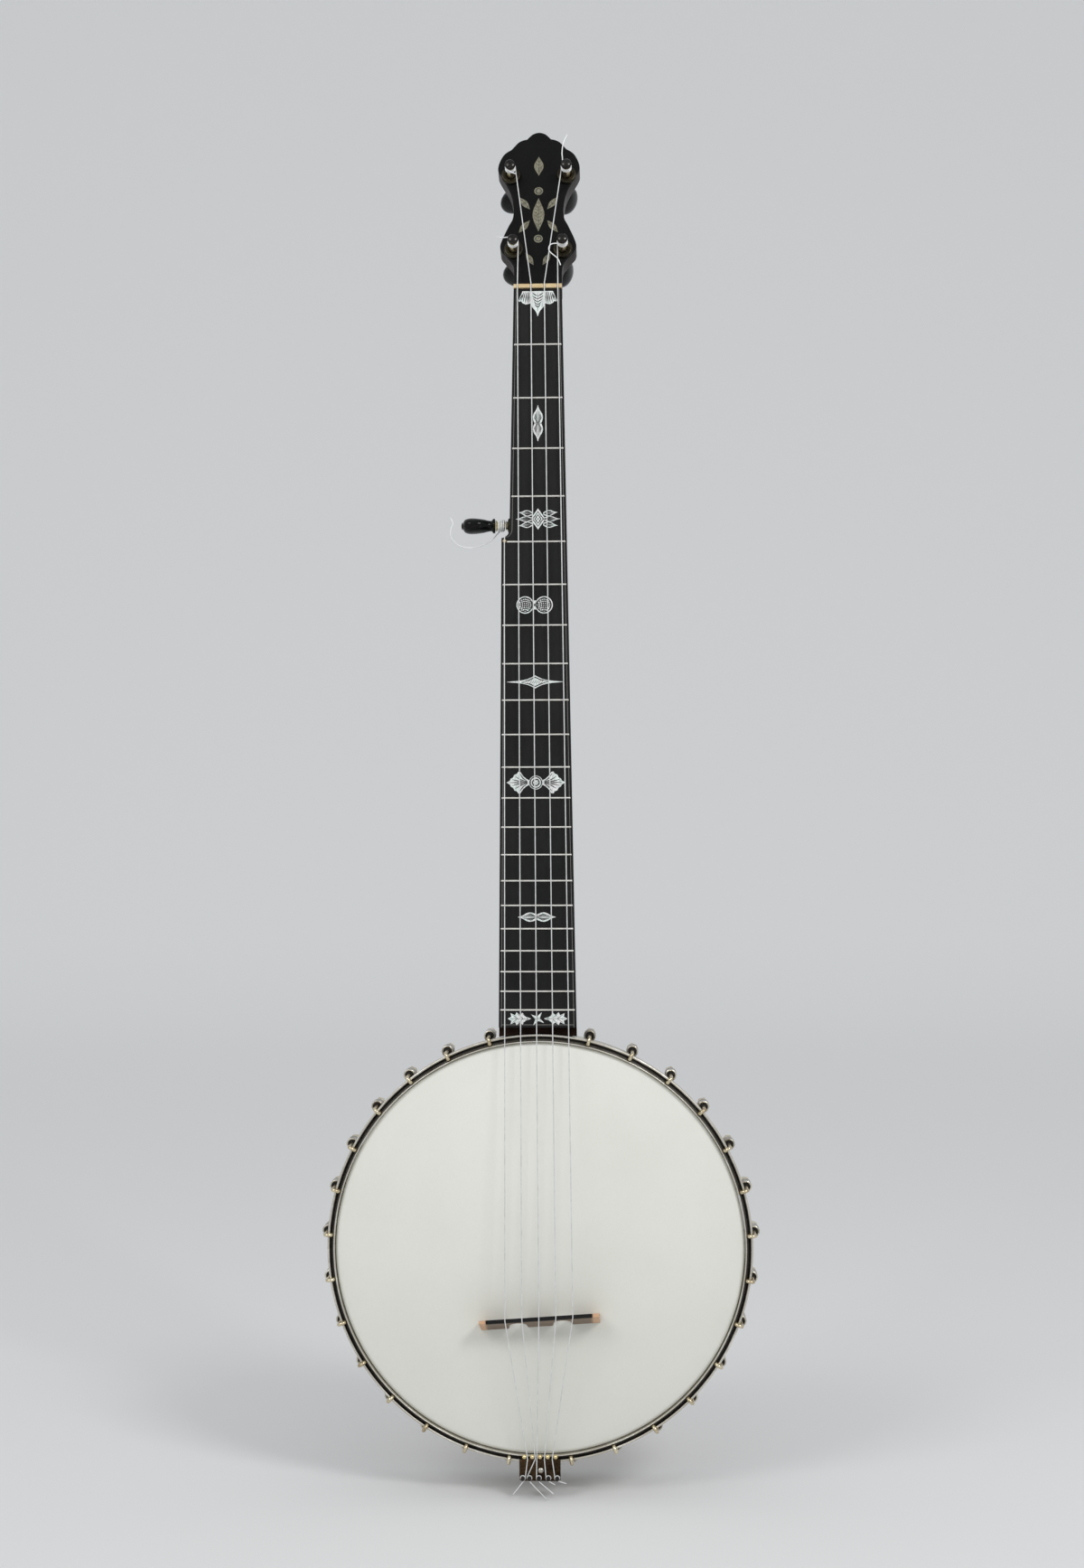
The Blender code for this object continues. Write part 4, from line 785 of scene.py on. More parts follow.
def add_plate(bm, outline, low, high, edge, matrix=Matrix(), steps=3):
    """A flat plate whose edge at its low face is rounded."""
    sections = []
    for i in range(steps + 1):
        a = math.pi / 2 * i / steps
        shape = inset(outline, edge * (1 - math.sin(a)))
        sections.append([matrix @ Vector((x, low + edge * (1 - math.cos(a)), z)) for x, z in shape])
    sections.append([matrix @ Vector((x, high, z)) for x, z in outline])
    loft(bm, sections)


def build_neck():
    cove = cove_stations()
    stations = [s * heel_start / 12 for s in range(5) if s * heel_start / 12 < cove[0]] + cove + [step_corner]
    stations += [step_corner + (heel_start - step_corner) * i / 8 for i in range(1, 9)]
    stations += [heel_start + (heel_flat_start - heel_start) * i / 14 for i in range(1, 15)]
    stations.append(nut_to_pot - wood_inner)
    top = [(x, y * 0.86, NUT_LENGTH + 0.1 * MM) for x, y, _ in neck_section(0, 0.955)]
    sections = [top] + [neck_section(s) for s in stations]
    bm = bmesh.new()
    loft(bm, [[nut_matrix @ Vector(p) for p in section] for section in sections])
    piece = add_mesh("neck_carved", bm, "neck_wood", ["neck"])
    bm = bmesh.new()
    back = peghead_matrix @ Matrix.Scale(-1, 4, (0, 1, 0))
    add_plate(bm, peghead_outline(-0.5 * MM), -PEGHEAD_THICKNESS, 0, 1.6 * MM, back, 4)
    boolean(piece, bm, "UNION")

    bm = bmesh.new()
    front, back = -8 * MM, RIM_BACK + 4 * MM
    hoop_end = HOOP_BOTTOM + FLESH_HOOP + 3 * GAP
    profile = [(RIM_WALL, front), (hoop_outer + 2 * GAP, front), (hoop_outer + 2 * GAP, hoop_end),
               (heel_end, hoop_end), (heel_end, back), (RIM_WALL, back)]
    turned(bm, profile, 180, pot_matrix @ to_back(0), tube=True)
    boolean(piece, bm)
    bore = POST_SHAFT + 1.6 * GAP
    posts = peg_matrices()[:4]
    fifth = (fifth_matrix(), -FIFTH_SHAFT_IN_NECK - GAP, 4 * MM)
    drill(piece, bore, [(post, -20 * MM, 4 * MM) for post in posts] + [fifth])

    bm = bmesh.new()
    add_plate(bm, peghead_outline(OVERLAY_START), overlay_face, -0.05 * MM, 0.5 * MM, peghead_matrix)
    piece = add_mesh("peghead_face", bm, "peghead_black", ["peghead_overlay"])
    drill(piece, bore, [(post, -4 * MM, 4 * MM) for post in posts])
    from_node("heel_cap", "ebony", 0.4 * MM)


def board_prism(name, outline, low, high, look, replaces=()):
    bm = bmesh.new()
    prism(bm, outline, low, high, nut_matrix)
    add_mesh(name, bm, look, replaces)


def build_fingerboard():
    face = -BOARD_THICKNESS
    under = -0.05 * MM
    edge = STRIP_WIDTH + GAP
    board = board_outline(GAP, board_end, edge)
    board_prism("board", board, face, under, "ebony", ["fingerboard"])

    # Frets: a rounded crown, lower at its ends
    half = FRET_WIDTH / 2
    profile = [(half, 0)] + [(half * math.cos(a), -FRET_HEIGHT * math.sin(a) ** 0.8)
                             for a in [math.pi * i / 10 for i in range(1, 10)]] + [(-half, 0)]
    bm = bmesh.new()
    for number in range(1, LAST_FRET):
        s = fret_from_nut(number)
        bass = -half_width_bass(s + half) + FRET_FROM_EDGE
        if number == 5:
            bass = PIP_X + PIP_RADIUS + GAP
        treble = half_width_treble(s) - FRET_FROM_EDGE
        stations = [(bass, 0.55), (bass + 0.35 * MM, 0.9), (bass + 0.8 * MM, 1),
                    (treble - 0.8 * MM, 1), (treble - 0.35 * MM, 0.9), (treble, 0.55)]
        loft(bm, [[nut_matrix @ Vector((x, face + y * size, a - s)) for a, y in profile]
                  for x, size in stations])
    add_mesh("frets", bm, "fret_metal")

    # Side strips with a thin pale line between them and the board
    outer, inner = (board_outline(GAP, board_end, distance) for distance in (0, STRIP_WIDTH))
    for side, corners in (("bass", slice(0, -2)), ("treble", slice(-2, None))):
        board_prism(f"{side}_strip", outer[corners] + inner[corners][::-1], face, under, "ebony",
                    [f"{side}_side_strip"])
        board_prism(f"{side}_line", inner[corners] + board[corners][::-1], face + 0.02 * MM, -1 * MM,
                    "line")
    low, high = -board_end + STRIP_WIDTH, -board_end + edge
    bass, treble = half_width_bass(board_end) - edge, half_width_treble(board_end) - edge
    board_prism("end_line", [(-bass, low), (treble, low), (treble, high), (-bass, high)],
                face - 0.03 * MM, -1 * MM, "line")
    from_node("nut", "bone", 0.35 * MM)
    tip = PIP_ABOVE_BOARD
    profile = [(PIP_RADIUS, -0.5 * MM), (PIP_RADIUS, 0.55 * tip)]
    profile += [(PIP_RADIUS * math.cos(a), tip * (0.55 + 0.45 * math.sin(a))) for a in (0.5, 1.0, 1.35)]
    turned_piece("pip", profile, 20, nut_matrix @ standing(PIP_X, face, -pip_from_nut), "bone",
                 ["fifth_string_pip"])


# Pearl inlays: outlines and engraved strokes in mm, across and up from each inlay's middle

def placed(points, x=0.0, z=0.0, turn=0.0):
    c, s = math.cos(math.radians(turn)), math.sin(math.radians(turn))
    return [(x + a * c - b * s, z + a * s + b * c) for a, b in points]


def mirrored(points):
    return [(-x, z) for x, z in points]


def leaf(length, width, x=0.0, z=0.0, turn=0.0):
    """Pointed at both ends; its length runs along z before it is turned."""
    half = [(width / 2 * math.sin(math.pi * i / 10) ** 1.25, -length / 2 + length * i / 10)
            for i in range(11)]
    return placed(half + mirrored(half[:0:-1][1:]), x, z, turn)


def leaf_strokes(length, width, x=0.0, z=0.0, turn=0.0, veins=4):
    strokes = [[(0, -0.42 * length), (0, 0.42 * length)]]
    for i in range(veins):
        b = -0.3 * length + 0.52 * length * i / (veins - 1)
        reach = 0.36 * width * math.sin(math.pi * (b / length + 0.5))
        strokes += [[(0, b), (side * reach, b + 0.75 * reach)] for side in (-1, 1)]
    return [placed(stroke, x, z, turn) for stroke in strokes]


def spade(length, width, x=0.0, z=0.0, turn=0.0):
    """A blunt foot, a full belly and a long point."""
    half = [(0.04, 1), (0.14, 0.88), (0.4, 0.74), (0.82, 0.58), (1, 0.42), (0.92, 0.26), (0.66, 0.1),
            (0.4, 0)]
    points = [(a * width / 2, (b - 0.5) * length) for a, b in half]
    return placed(points + mirrored(points[::-1]), x, z, turn)


def spade_strokes(length, width, x=0.0, z=0.0, turn=0.0):
    """Curved feather lines along the leaf."""
    strokes = [[(0, -0.46 * length), (0, 0.3 * length)]]
    for side in (-1, 1):
        for share, low, high in ((0.32, -0.44, 0.2), (0.62, -0.36, 0.06)):
            bend = side * share * width / 2
            strokes.append([(0.4 * bend, low * length), (bend, (low + high) / 2 * length),
                            (0.75 * bend, high * length)])
    return [placed(stroke, x, z, turn) for stroke in strokes]


def spades(leaves):
    """Leaves, each given by its length, width, place and turn, with their strokes."""
    shapes = [spade(*values) for values in leaves]
    return shapes, [stroke for values in leaves for stroke in spade_strokes(*values)]


def disc(radius, x=0.0, z=0.0, count=32):
    return [(x + radius * math.cos(a), z + radius * math.sin(a)) for a in even_angles(count)]


def ring_stroke(radius, x=0.0, z=0.0, count=24):
    points = disc(radius, x, z, count)
    return points + points[:1]


def fan_inlay():
    right = [(10.2, 0), (11.3, -2.6), (12.9, -6.4), (12.5, -7.2), (11.2, -6.8), (10.2, -8.1), (8.2, -9),
             (6.1, -8.7), (4.7, -8.2), (4.5, -9.8), (3.4, -11.4), (1.7, -13.3), (0.7, -15.2), (0.2, -17)]
    strokes = [[(0, -1), (0, -13.4)]]
    feathers = [(10.3, -2, 12, -6.2), (9.4, -0.8, 10.9, -6.2), (8.4, -0.7, 9.9, -7.4), (7.4, -0.7, 8.5, -8.2),
                (6.5, -0.7, 7.2, -8.3), (5.6, -0.7, 6, -8.1), (4.6, -0.6, 4.8, -7.6)]
    for side in (-1, 1):
        for x0, z0, x1, z1 in feathers:
            strokes.append([(side * x0, z0), (side * (x0 + x1) / 2, (z0 + z1) / 2), (side * x1, z1)])
        for b in (-3.4, -5.4, -7.4, -9.4, -11.2):
            reach = min(3.6, 4.4 + 0.33 * (b + 3.4))
            strokes.append([(0, b), (side * 0.5 * reach, b + 0.9), (side * reach, b + 2.3)])
    return [right + mirrored(right[::-1])], strokes


def vertical_leaves():
    return spades([(13.4, 6.8, 0, 5.5), (13.4, 6.8, 0, -5.5, 180)])


def diamond_and_sprays():
    diamond = [(0, -7.1), (5, 0), (0, 7.1), (-5, 0)]
    strokes = [[(a * share, b * share) for a, b in diamond + diamond[:1]] for share in (0.7, 0.4)]
    strokes += [[(-2, -2.2), (2, 2.2)], [(-2, 2.2), (2, -2.2)]]
    sprays = [(9.6, 4.1, 8.3, 4, -84), (11.2, 3.6, 9.2, 0, -90), (9.6, 4.1, 8.3, -4, -96)]
    shapes, feathers = spades([(length, width, side * x, z, side * turn) for side in (-1, 1)
                               for length, width, x, z, turn in sprays])
    return [diamond] + shapes, strokes + feathers


def linked_discs():
    shapes = [disc(5.8, -6.3, 0), disc(5.8, 6.3, 0), [(-1.8, -3), (1.8, -3), (1.8, 3), (-1.8, 3)]]
    strokes = [ring_stroke(4.75, -6.3), ring_stroke(4.75, 6.3)]
    strokes += [[(-3, -3.2), (0, 0), (3, 3.2)], [(-3, 3.2), (0, 0), (3, -3.2)]]
    for i in range(-3, 4):
        step = 1.35 * i
        reach = math.sqrt(max(0.5, 4.9 ** 2 - step ** 2)) * 0.9
        for x in (-6.3, 6.3):
            strokes.append([(x - reach, step - 0.5), (x, step + 0.5), (x + reach, step - 0.5)])
            strokes.append([(x + step - 0.5, -reach), (x + step + 0.5, 0), (x + step - 0.5, reach)])
    return shapes, strokes


def concave_lozenge():
    right = [(0, 4.4), (2.2, 3.1), (5, 1.9), (8, 1.2), (12, 0.65), (18.6, 0.1)]
    outline = right + [(x, -z) for x, z in reversed(right)]
    outline += [(-x, -z) for x, z in right[1:]] + mirrored(right[:0:-1])
    strokes = [[(0, 3.1), (3.4, 1.5), (9, 0.35), (3.4, -1.5), (0, -3.1), (-3.4, -1.5), (-9, -0.35),
                (-3.4, 1.5), (0, 3.1)]]
    strokes += [[(i * 1.5 - 0.8, -1.2), (i * 1.5 + 0.8, 1.2)] for i in range(-3, 4)]
    return [outline], strokes


def bow_tie():
    fan = [(3.2, 0.9), (6.2, 2.4), (8.3, 4.2), (10.2, 7), (11.6, 7.3), (12.4, 5.9), (14.2, 5.2), (15, 3.4),
           (16.6, 2.6), (17.2, 1.3), (19.3, 0)]
    wing = fan + [(x, -z) for x, z in reversed(fan[:-1])]
    strokes = [ring_stroke(3.8), ring_stroke(2.2)]
    strokes += [[(-2.6, b - 1.2), (2.6, b + 1.2)] for b in (-1.4, 0, 1.4)]
    for side in (-1, 1):
        for a, b in ((10.6, 5.8), (13.4, 3.9), (15.6, 2), (17.2, 0), (15.6, -2), (13.4, -3.9), (10.6, -5.8)):
            strokes.append([(side * 5.6, 0.25 * b / 2), (side * (0.6 * a + 2.2), 0.5 * b), (side * a, b)])
    return [disc(4.55), wing, mirrored(wing)], strokes


def horizontal_leaves():
    return spades([(13, 6.2, 5.9, 0, -90), (13, 6.2, -5.9, 0, 90)])


def crossed_leaves():
    """A small four-pointed figure between two spiky leaves."""
    points = [placed([(5.1 if i % 2 else 1.5, 0)], turn=45 * i + 12)[0] for i in range(8)]
    right = [(4.2, 0), (8, 1.5), (10, 3.9), (11.6, 2.4), (13.8, 4.2), (14.8, 2.2), (17.8, 3.7), (17.2, 1.4),
             (19.6, 0)]
    wing = right + [(x, -z) for x, z in reversed(right[:-1])][:-1]
    strokes = [[(0, -1.6), (0, 1.6)], [(-1.6, 0), (1.6, 0)]]
    for side in (-1, 1):
        strokes.append([(side * 6, 0), (side * 18, 0)])
        for a, b in ((9.6, 2.9), (13, 3), (16.6, 2.6)):
            strokes += [[(side * (a - 3.4), 0.2), (side * a, b)], [(side * (a - 3.4), -0.2), (side * a, -b)]]
    return [points, wing, mirrored(wing)], strokes


def peghead_column():
    """A column of leaves and discs with side sprays."""
    shapes = [leaf(26, 8, 0, 57), disc(3, 0, 38.5), disc(3, 0, 75.5), leaf(15, 6.4, 0, 95)]
    strokes = leaf_strokes(26, 8, 0, 57, 0, 6) + leaf_strokes(15, 6.4, 0, 95)
    strokes += [ring_stroke(1.9, 0, 38.5), ring_stroke(1.9, 0, 75.5)]
    for side in (-1, 1):
        for length, width, x, z, turn in ((12, 4.2, 9.6, 66, -38), (12, 4.2, 9.6, 48, 38),
                                          (11, 4, 5.8, 23, -30)):
            shapes.append(leaf(length, width, side * x, z, side * turn))
            strokes += leaf_strokes(length, width, side * x, z, side * turn, 3)
    return shapes, strokes


def ribbon(bm, stroke, width, level, matrix):
    """A flat line of that width along a stroke, tapered at its ends."""
    points = [Vector(p) for p in stroke]
    last = len(points) - 1
    closed = (points[0] - points[-1]).length < 1e-6
    pairs = []
    for i, point in enumerate(points):
        before = points[-2] if closed and i == 0 else points[max(0, i - 1)]
        after = points[1] if closed and i == last else points[min(last, i + 1)]
        along = (after - before).normalized()
        size = width / 2 * (1 if closed or 0 < i < last else 0.35)
        side = Vector((-along.y, along.x)) * size
        pairs.append([bm.verts.new(matrix @ Vector((p.x * MM, level, p.y * MM)))
                      for p in (point - side, point + side)])
    for a, b in zip(pairs, pairs[1:]):
        bm.faces.new((a[0], b[0], b[1], a[1]))


def build_inlays(name, inlays, look, matrix, face, width):
    """Pearl set level with the wood, just proud enough to show, with its engraving filled black."""
    pearl, lines = bmesh.new(), bmesh.new()
    for (shapes, strokes), x, z in inlays:
        place = matrix @ Matrix.Translation((x, 0, z))
        for shape in shapes:
            prism(pearl, [(a * MM, b * MM) for a, b in shape], face - INLAY_PROUD, face + INLAY_DEPTH, place)
        for stroke in strokes:
            ribbon(lines, stroke, width, face - ENGRAVING_PROUD, place)
    add_mesh(f"{name}_pearl", pearl, look)
    add_mesh(f"{name}_engraving", lines, "engraving")


def build_all_inlays():
    designs = {3: vertical_leaves, 5: diamond_and_sprays, 7: linked_discs, 9: concave_lozenge, 12: bow_tie,
               17: horizontal_leaves, 22: crossed_leaves}
    inlays = [(fan_inlay(), 0, -FAN_FROM_NUT)]
    for fret, design in designs.items():
        s = (fret_from_nut(fret - 1) + fret_from_nut(fret)) / 2
        inlays.append((design(), board_middle(s), -s))
    build_inlays("board", inlays, "pearl", nut_matrix, -BOARD_THICKNESS, BOARD_STROKE)
    build_inlays("peghead", [(peghead_column(), 0, 0)], "dim_pearl", peghead_matrix, overlay_face,
                 PEGHEAD_STROKE)


# Pegs

def knob_profile(start, length):
    """A beaded collar, a waist, and a flattened grip with a rounded end."""
    wide, thin = KNOB_SHAPE
    collar = [(4.3, 0), (4.9, 0.015), (5, 0.04), (4.9, 0.07), (4.2, 0.09), (3.6, 0.115), (3.5, 0.15)]
    grip = [(0.5, 0.74, 0.24), (0.74, 0.84, 0.34), (0.92, 0.92, 0.48), (1, 0.98, 0.63), (0.985, 1, 0.76),
            (0.9, 0.95, 0.86), (0.74, 0.84, 0.94), (0.5, 0.62, 0.985), (0.34, 0.5, 1)]
    shape = [(r, r, share) for r, share in collar] + [(a * wide, b * thin, share) for a, b, share in grip]
    bore = KNOB_TENON + GAP
    outer = [(rx * MM, ry * MM, start + length * share) for rx, ry, share in shape]
    return outer + [(bore, start + length), (bore, start)]


def build_peg(number, matrix):
    body = f"peg_{number}"
    if number < 5:
        start, length = -OVERLAY_THICKNESS - 3 * GAP - PEGHEAD_THICKNESS, -KNOB_LENGTH
        top = POST_HEIGHT - 3 * MM
        post = [(KNOB_TENON, start + 0.5 * length), (KNOB_TENON, start + GAP), (POST_SHAFT, start + GAP),
                (POST_SHAFT, FERRULE_HEIGHT + GAP), (POST_BARREL, FERRULE_HEIGHT + 1 * MM),
                (POST_BARREL, top)]
        cap = [(POST_BARREL - 0.4 * MM, top - 0.1 * MM), (POST_TIP - 0.7 * MM, top + 0.1 * MM)]
        cap += arc((POST_TIP - 0.55 * MM, top + 0.75 * MM), 0.55 * MM, -80, 60, 6)
        cap += [(POST_TIP * math.cos(a), top + 1.2 * MM + 1.75 * MM * math.sin(a))
                for a in (0.35, 0.6, 0.85, 1.1, 1.35, 1.5)]
        # The cap's near-black colour is a painted dark reflection.
        turned_piece(f"{body}_cap", cap, 28, matrix, "dark_nickel", (), body, 60)
        radius, height = FERRULE_RADIUS, FERRULE_HEIGHT
    else:
        start, length = FIFTH_KNOB_START, FIFTH_KNOB_LENGTH
        tip = start - GAP
        post = [(POST_SHAFT, -FIFTH_SHAFT_IN_NECK), (POST_SHAFT, COLLAR_HEIGHT + GAP),
                (POST_BARREL, COLLAR_HEIGHT + 2 * GAP), (POST_BARREL, tip - 1 * MM),
                (POST_TIP, tip - 0.7 * MM), (POST_TIP, tip), (KNOB_TENON, tip),
                (KNOB_TENON, start + 0.55 * length)]
        radius, height = 0.75 * FERRULE_RADIUS, COLLAR_HEIGHT
    turned_piece(f"{body}_metal_post", post, 28, matrix, "post_metal",
                 [f"{body}_post"], body)
    grip = matrix @ Matrix.Rotation(math.radians(KNOB_TURNS[number - 1]), 4, "Z")
    turned_piece(f"{body}_black_knob", knob_profile(start, length), 36, grip, "black_knob",
                 [f"{body}_knob"], body, 60, tube=True)

    way = 1 if length > 0 else -1
    end = start + length
    screw = [(KNOB_TENON - GAP, start + 0.65 * length), (KNOB_TENON - GAP, end + way * GAP)]
    screw += [(2.5 * math.cos(a) * MM, end + way * (0.3 + 1.1 * math.sin(a)) * MM)
              for a in (0, 0.4, 0.8, 1.2)]
    turned_piece(f"{body}_end_screw", screw, 20, matrix, "dull_bronze", [f"{body}_screw"], body)

    bore = POST_SHAFT + 1.4 * GAP
    ferrule = [(bore, 0.1 * MM), (radius, 0.1 * MM)]
    ferrule += [(radius * (0.8 + 0.2 * math.cos(a)), 0.3 * height + 0.7 * height * math.sin(a))
                for a in (0, 0.4, 0.8, 1.2, 1.5708)]
    ferrule += [(bore + 0.6 * MM, height), (bore, height - 0.5 * MM)]
    turned_piece(f"{body}_bushing", ferrule, 36, matrix, "dull_bronze", [f"{body}_ferrule"],
                 tube=True)


# Pot

def pot_ring(name, profile, look, replaces=(), count=240, smooth=35):
    return turned_piece(name, profile, count, pot_matrix @ to_back(0), look, replaces, BODY, smooth,
                        tube=True)


def build_pot():
    edge = 0.5 * MM
    inner, outer = wood_inner, wood_radius
    profile = [(inner, rim_top), (outer, rim_top), (outer, RIM_BACK - edge), (outer - edge, RIM_BACK),
               (inner + 3 * edge, RIM_BACK), (inner + edge, RIM_BACK - 0.6 * edge),
               (inner, RIM_BACK - 3 * edge)]
    rim = pot_ring("wood_rim", profile, "maple", ["rim"])
    bead, outer = SHEATH_BEAD, RIM_RADIUS
    profile = [(outer - SHEATH_THICKNESS, rim_top), (outer, rim_top)]
    profile += arc((outer + 0.15 * MM, RIM_BACK - bead), bead * 0.95, -70, 130, 10)
    profile.append((outer - SHEATH_THICKNESS, RIM_BACK - bead))
    sheath = pot_ring("metal_sheath", profile, "sheath_nickel")
    tenon = (pot_matrix @ Matrix.Translation((0, DOWEL_DEPTH, 0)), 0.9 * wood_inner, 1.1 * RIM_RADIUS)
    for piece in (rim, sheath):
        drill(piece, TENON_RADIUS + 0.35 * MM, [tenon], 32)

    outer = skin_inner * flat - GAP
    inner = outer - TONE_RING_SIDE
    bottom = tone_top + TONE_RING_SIDE
    profile = [(inner, tone_top + 0.6 * MM), (inner + 0.6 * MM, tone_top)]
    profile += arc((outer - HEAD_BEND, tone_top + HEAD_BEND), HEAD_BEND, -90, 0, 8)
    pot_ring("tone_ring_bright", profile + [(outer, bottom), (inner, bottom)], "nickel_silver",
             ["tone_ring"], 180)

    # The head: flat skin, bent round over the tone ring, with its skirt under the hoop
    t = HEAD_THICKNESS
    centre = (skin_inner - HEAD_BEND, t + HEAD_BEND)
    flat_part = [2 * MM, 60 * MM, 120 * MM]
    profile = [(r, 0) for r in flat_part] + arc(centre, HEAD_BEND + t, -90, 0, 10)
    profile += [(skin_outer, SKIN_SKIRT), (skin_inner, SKIN_SKIRT)] + arc(centre, HEAD_BEND, 0, -90, 10)
    profile += [(r, t) for r in flat_part[::-1]]
    turned_piece("skin_head", profile, 240, pot_matrix @ to_back(0), "skin", ["head"], BODY, 50)
    wire = FLESH_HOOP / 2
    centre = (skin_outer + 1.2 * GAP + wire, HOOP_BOTTOM + GAP + wire)
    pot_ring("flesh_wire", arc(centre, wire, 0, 315, 7), "dark_steel", ["flesh_hoop"], 180)
    build_hoop()


def build_hoop():
    """Tension hoop: a ridge, a grey slope and a near-black groove, both in painted shade, and a bright lip.
    """
    r0, r1 = hoop_inner, hoop_inner + 0.8 * MM
    r2, r3 = hoop_outer - HOOP_EDGE, hoop_outer
    slope_end = r2 - HOOP_DARK
    profile = [(r0, HOOP_BOTTOM)]
    profile += arc(((r0 + r1) / 2, -HOOP_ABOVE_HEAD + (r1 - r0) / 2), (r1 - r0) / 2, -180, 0, 8)
    profile += [(r1 + 0.3 * MM, -HOOP_ABOVE_HEAD + 1.1 * MM), (slope_end, GROOVE_FLOOR - 0.7 * MM),
                (slope_end + 0.15 * MM, GROOVE_FLOOR), (r2, GROOVE_FLOOR)]
    profile += arc(((r2 + r3) / 2, LIP_DEPTH + HOOP_EDGE / 2), HOOP_EDGE / 2, -180, 0, 8)
    profile += [(r3, HOOP_BOTTOM - 0.4 * MM), (r3 - 0.4 * MM, HOOP_BOTTOM)]
    hoop = pot_ring("grooved_hoop", profile, "lip_nickel", ["tension_hoop"],
                    HOOP_FACETS).data
    hoop.materials.append(LOOKS["tarnish"])
    hoop.materials.append(LOOKS["slope_shade_nickel"])
    # Painted shade: slot 1 paints the groove near black and slot 2 paints the slope grey.
    for face in hoop.polygons:
        place = face.center - pot_matrix.translation
        radius = math.hypot(place.x, place.z)
        if LIP_DEPTH + 0.6 * MM < place.y < 3 * MM and slope_end < radius < r2 + 0.05 * MM:
            face.material_index = 1
        elif place.y < 3 * MM and r1 - 0.01 * MM < radius < slope_end:
            face.material_index = 2


def repeat(name, template, look, replaces=(), smooth=40):
    """One mesh with a copy of the template at each bracket; the template is made in the pot's frame."""
    mesh = bpy.data.meshes.new("template")
    template.to_mesh(mesh)
    template.free()
    bm = bmesh.new()
    for angle in bracket_angles():
        first = len(bm.verts)
        bm.from_mesh(mesh)
        bm.verts.ensure_lookup_table()
        bmesh.ops.transform(bm, matrix=pot_matrix @ outwards(angle), verts=bm.verts[first:])
    bpy.data.meshes.remove(mesh)
    return add_mesh(name, bm, look, replaces, BODY, smooth)


def tube_sections(path, radii, sides):
    """Rings round a path of (depth, radius) points in the plane of a bracket."""
    sections = []
    for i, ((r, d), size) in enumerate(zip(path, radii)):
        before, after = path[max(0, i - 1)], path[min(len(path) - 1, i + 1)]
        along = Vector((0, after[1] - before[1], after[0] - before[0])).normalized()
        side = Vector((1, 0, 0))
        up = side.cross(along)
        sections.append([Vector((0, d, r)) + size * (math.cos(a) * side + math.sin(a) * up)
                         for a in even_angles(sides)])
    return sections


def build_brackets():
    tip = (hoop_inner + HOOP_RIDGE + HOOP_GROOVE / 2) * flat
    bend = (hook_circle - tip) / 2
    path = [(tip, GROOVE_FLOOR + 0.2 * MM), (tip, 0.6 * MM)]
    path += arc((tip + bend, LIP_DEPTH - 1.3 * MM), bend, 180, 360, 12)
    path += [(hook_circle, 4 * MM), (hook_circle, 20 * MM), (hook_circle, HOOK_END)]
    radii = [HOOK_CLAW, 1.4 * MM] + [HOOK_CLAW] * 4 + [HOOK_WIRE] * (len(path) - 9) + [1.05 * MM] * 3
    bm = bmesh.new()
    loft(bm, tube_sections(path, radii, 12))
    repeat("hooks", bm, "hook_metal", ["tension_hoop"])

    low, high = SHOE_DEPTH - SHOE_LENGTH / 2, SHOE_DEPTH + SHOE_LENGTH / 2
    axis = to_back(hook_circle)
    start, end = high + GAP, high + GAP + HOOK_NUT_LENGTH
    r = HOOK_NUT_RADIUS
    bm = bmesh.new()
    turned(bm, [(0.5 * r, start), (0.8 * r, start), (r, start + 0.6 * MM), (r, end - 1.2 * MM),
                (0.8 * r, end - 0.4 * MM), (0.5 * r, end)], 6, axis)
    repeat("hook_nuts", bm, "hook_metal", smooth=20)

    # Shoe: a short barrel, its front end rolled to a ring round a dark hollow that the hook goes into
    r, roll = SHOE_RADIUS, 0.62 * MM
    hollow, neck = r - 2 * roll, HOOK_WIRE + 0.3 * MM
    outer = [(neck, high - 0.4 * MM), (neck, low + 3.4 * MM), (hollow, low + 3 * MM)]
    outer += arc((r - roll, low + roll), roll, 180, 360, 10) + [(r - 0.5 * MM, low + 2.1 * MM)]
    outer += [(r - 0.15 * MM, SHOE_DEPTH), (r - 0.5 * MM, high - 2.1 * MM)]
    outer += arc((r - roll, high - roll), roll, 0, 90, 5) + [(neck + 0.3 * MM, high - 0.1 * MM)]
    bm = bmesh.new()
    turned(bm, outer, 28, axis, tube=True)
    level = Matrix.Translation((0, SHOE_DEPTH, 0))
    turned(bm, [(STUD_RADIUS + a * MM, RIM_RADIUS + b * MM) for a, b in ((0, -0.5), (1.4, 0), (1, 1), (0, 2))]
           + [(STUD_RADIUS, hook_circle - 2.4 * MM)], 18, level)
    repeat("shoes", bm, "nickel_silver", ["rim_sheath"])
    # Painted shade: a near-black ring set inside each shoe's hollow.
    inner, wall = HOOK_WIRE + 0.05 * MM, hollow + 0.1 * MM
    front, back = low + 1.5 * MM, low + 2.6 * MM
    bm = bmesh.new()
    turned(bm, [(inner, front), (wall, front), (wall, back), (inner, back)], 20, axis, tube=True)
    repeat("shoe_hollow_shade", bm, "engraving", smooth=20)

    # Square nut on the stud's end inside the rim
    nut_top = wood_inner * flat - 0.1 * MM
    nut_end = nut_top - RIM_NUT_HEIGHT
    corner = RIM_NUT_WIDTH / 2 * math.sqrt(2)
    bm = bmesh.new()
    turned(bm, [(0.6 * corner, nut_end), (0.86 * corner, nut_end + 0.1 * MM), (corner, nut_end + 0.8 * MM),
                (corner, nut_top)], 4, level @ Matrix.Rotation(math.pi / 4, 4, "Z"))
    turned(bm, [(0.5 * STUD_RADIUS, nut_end - 0.9 * MM), (STUD_RADIUS, nut_end - 0.5 * MM),
                (STUD_RADIUS, nut_end + 0.5 * MM)], 16, level)
    repeat("rim_nuts", bm, "brass", smooth=20)


# Dowel, tail and bridge

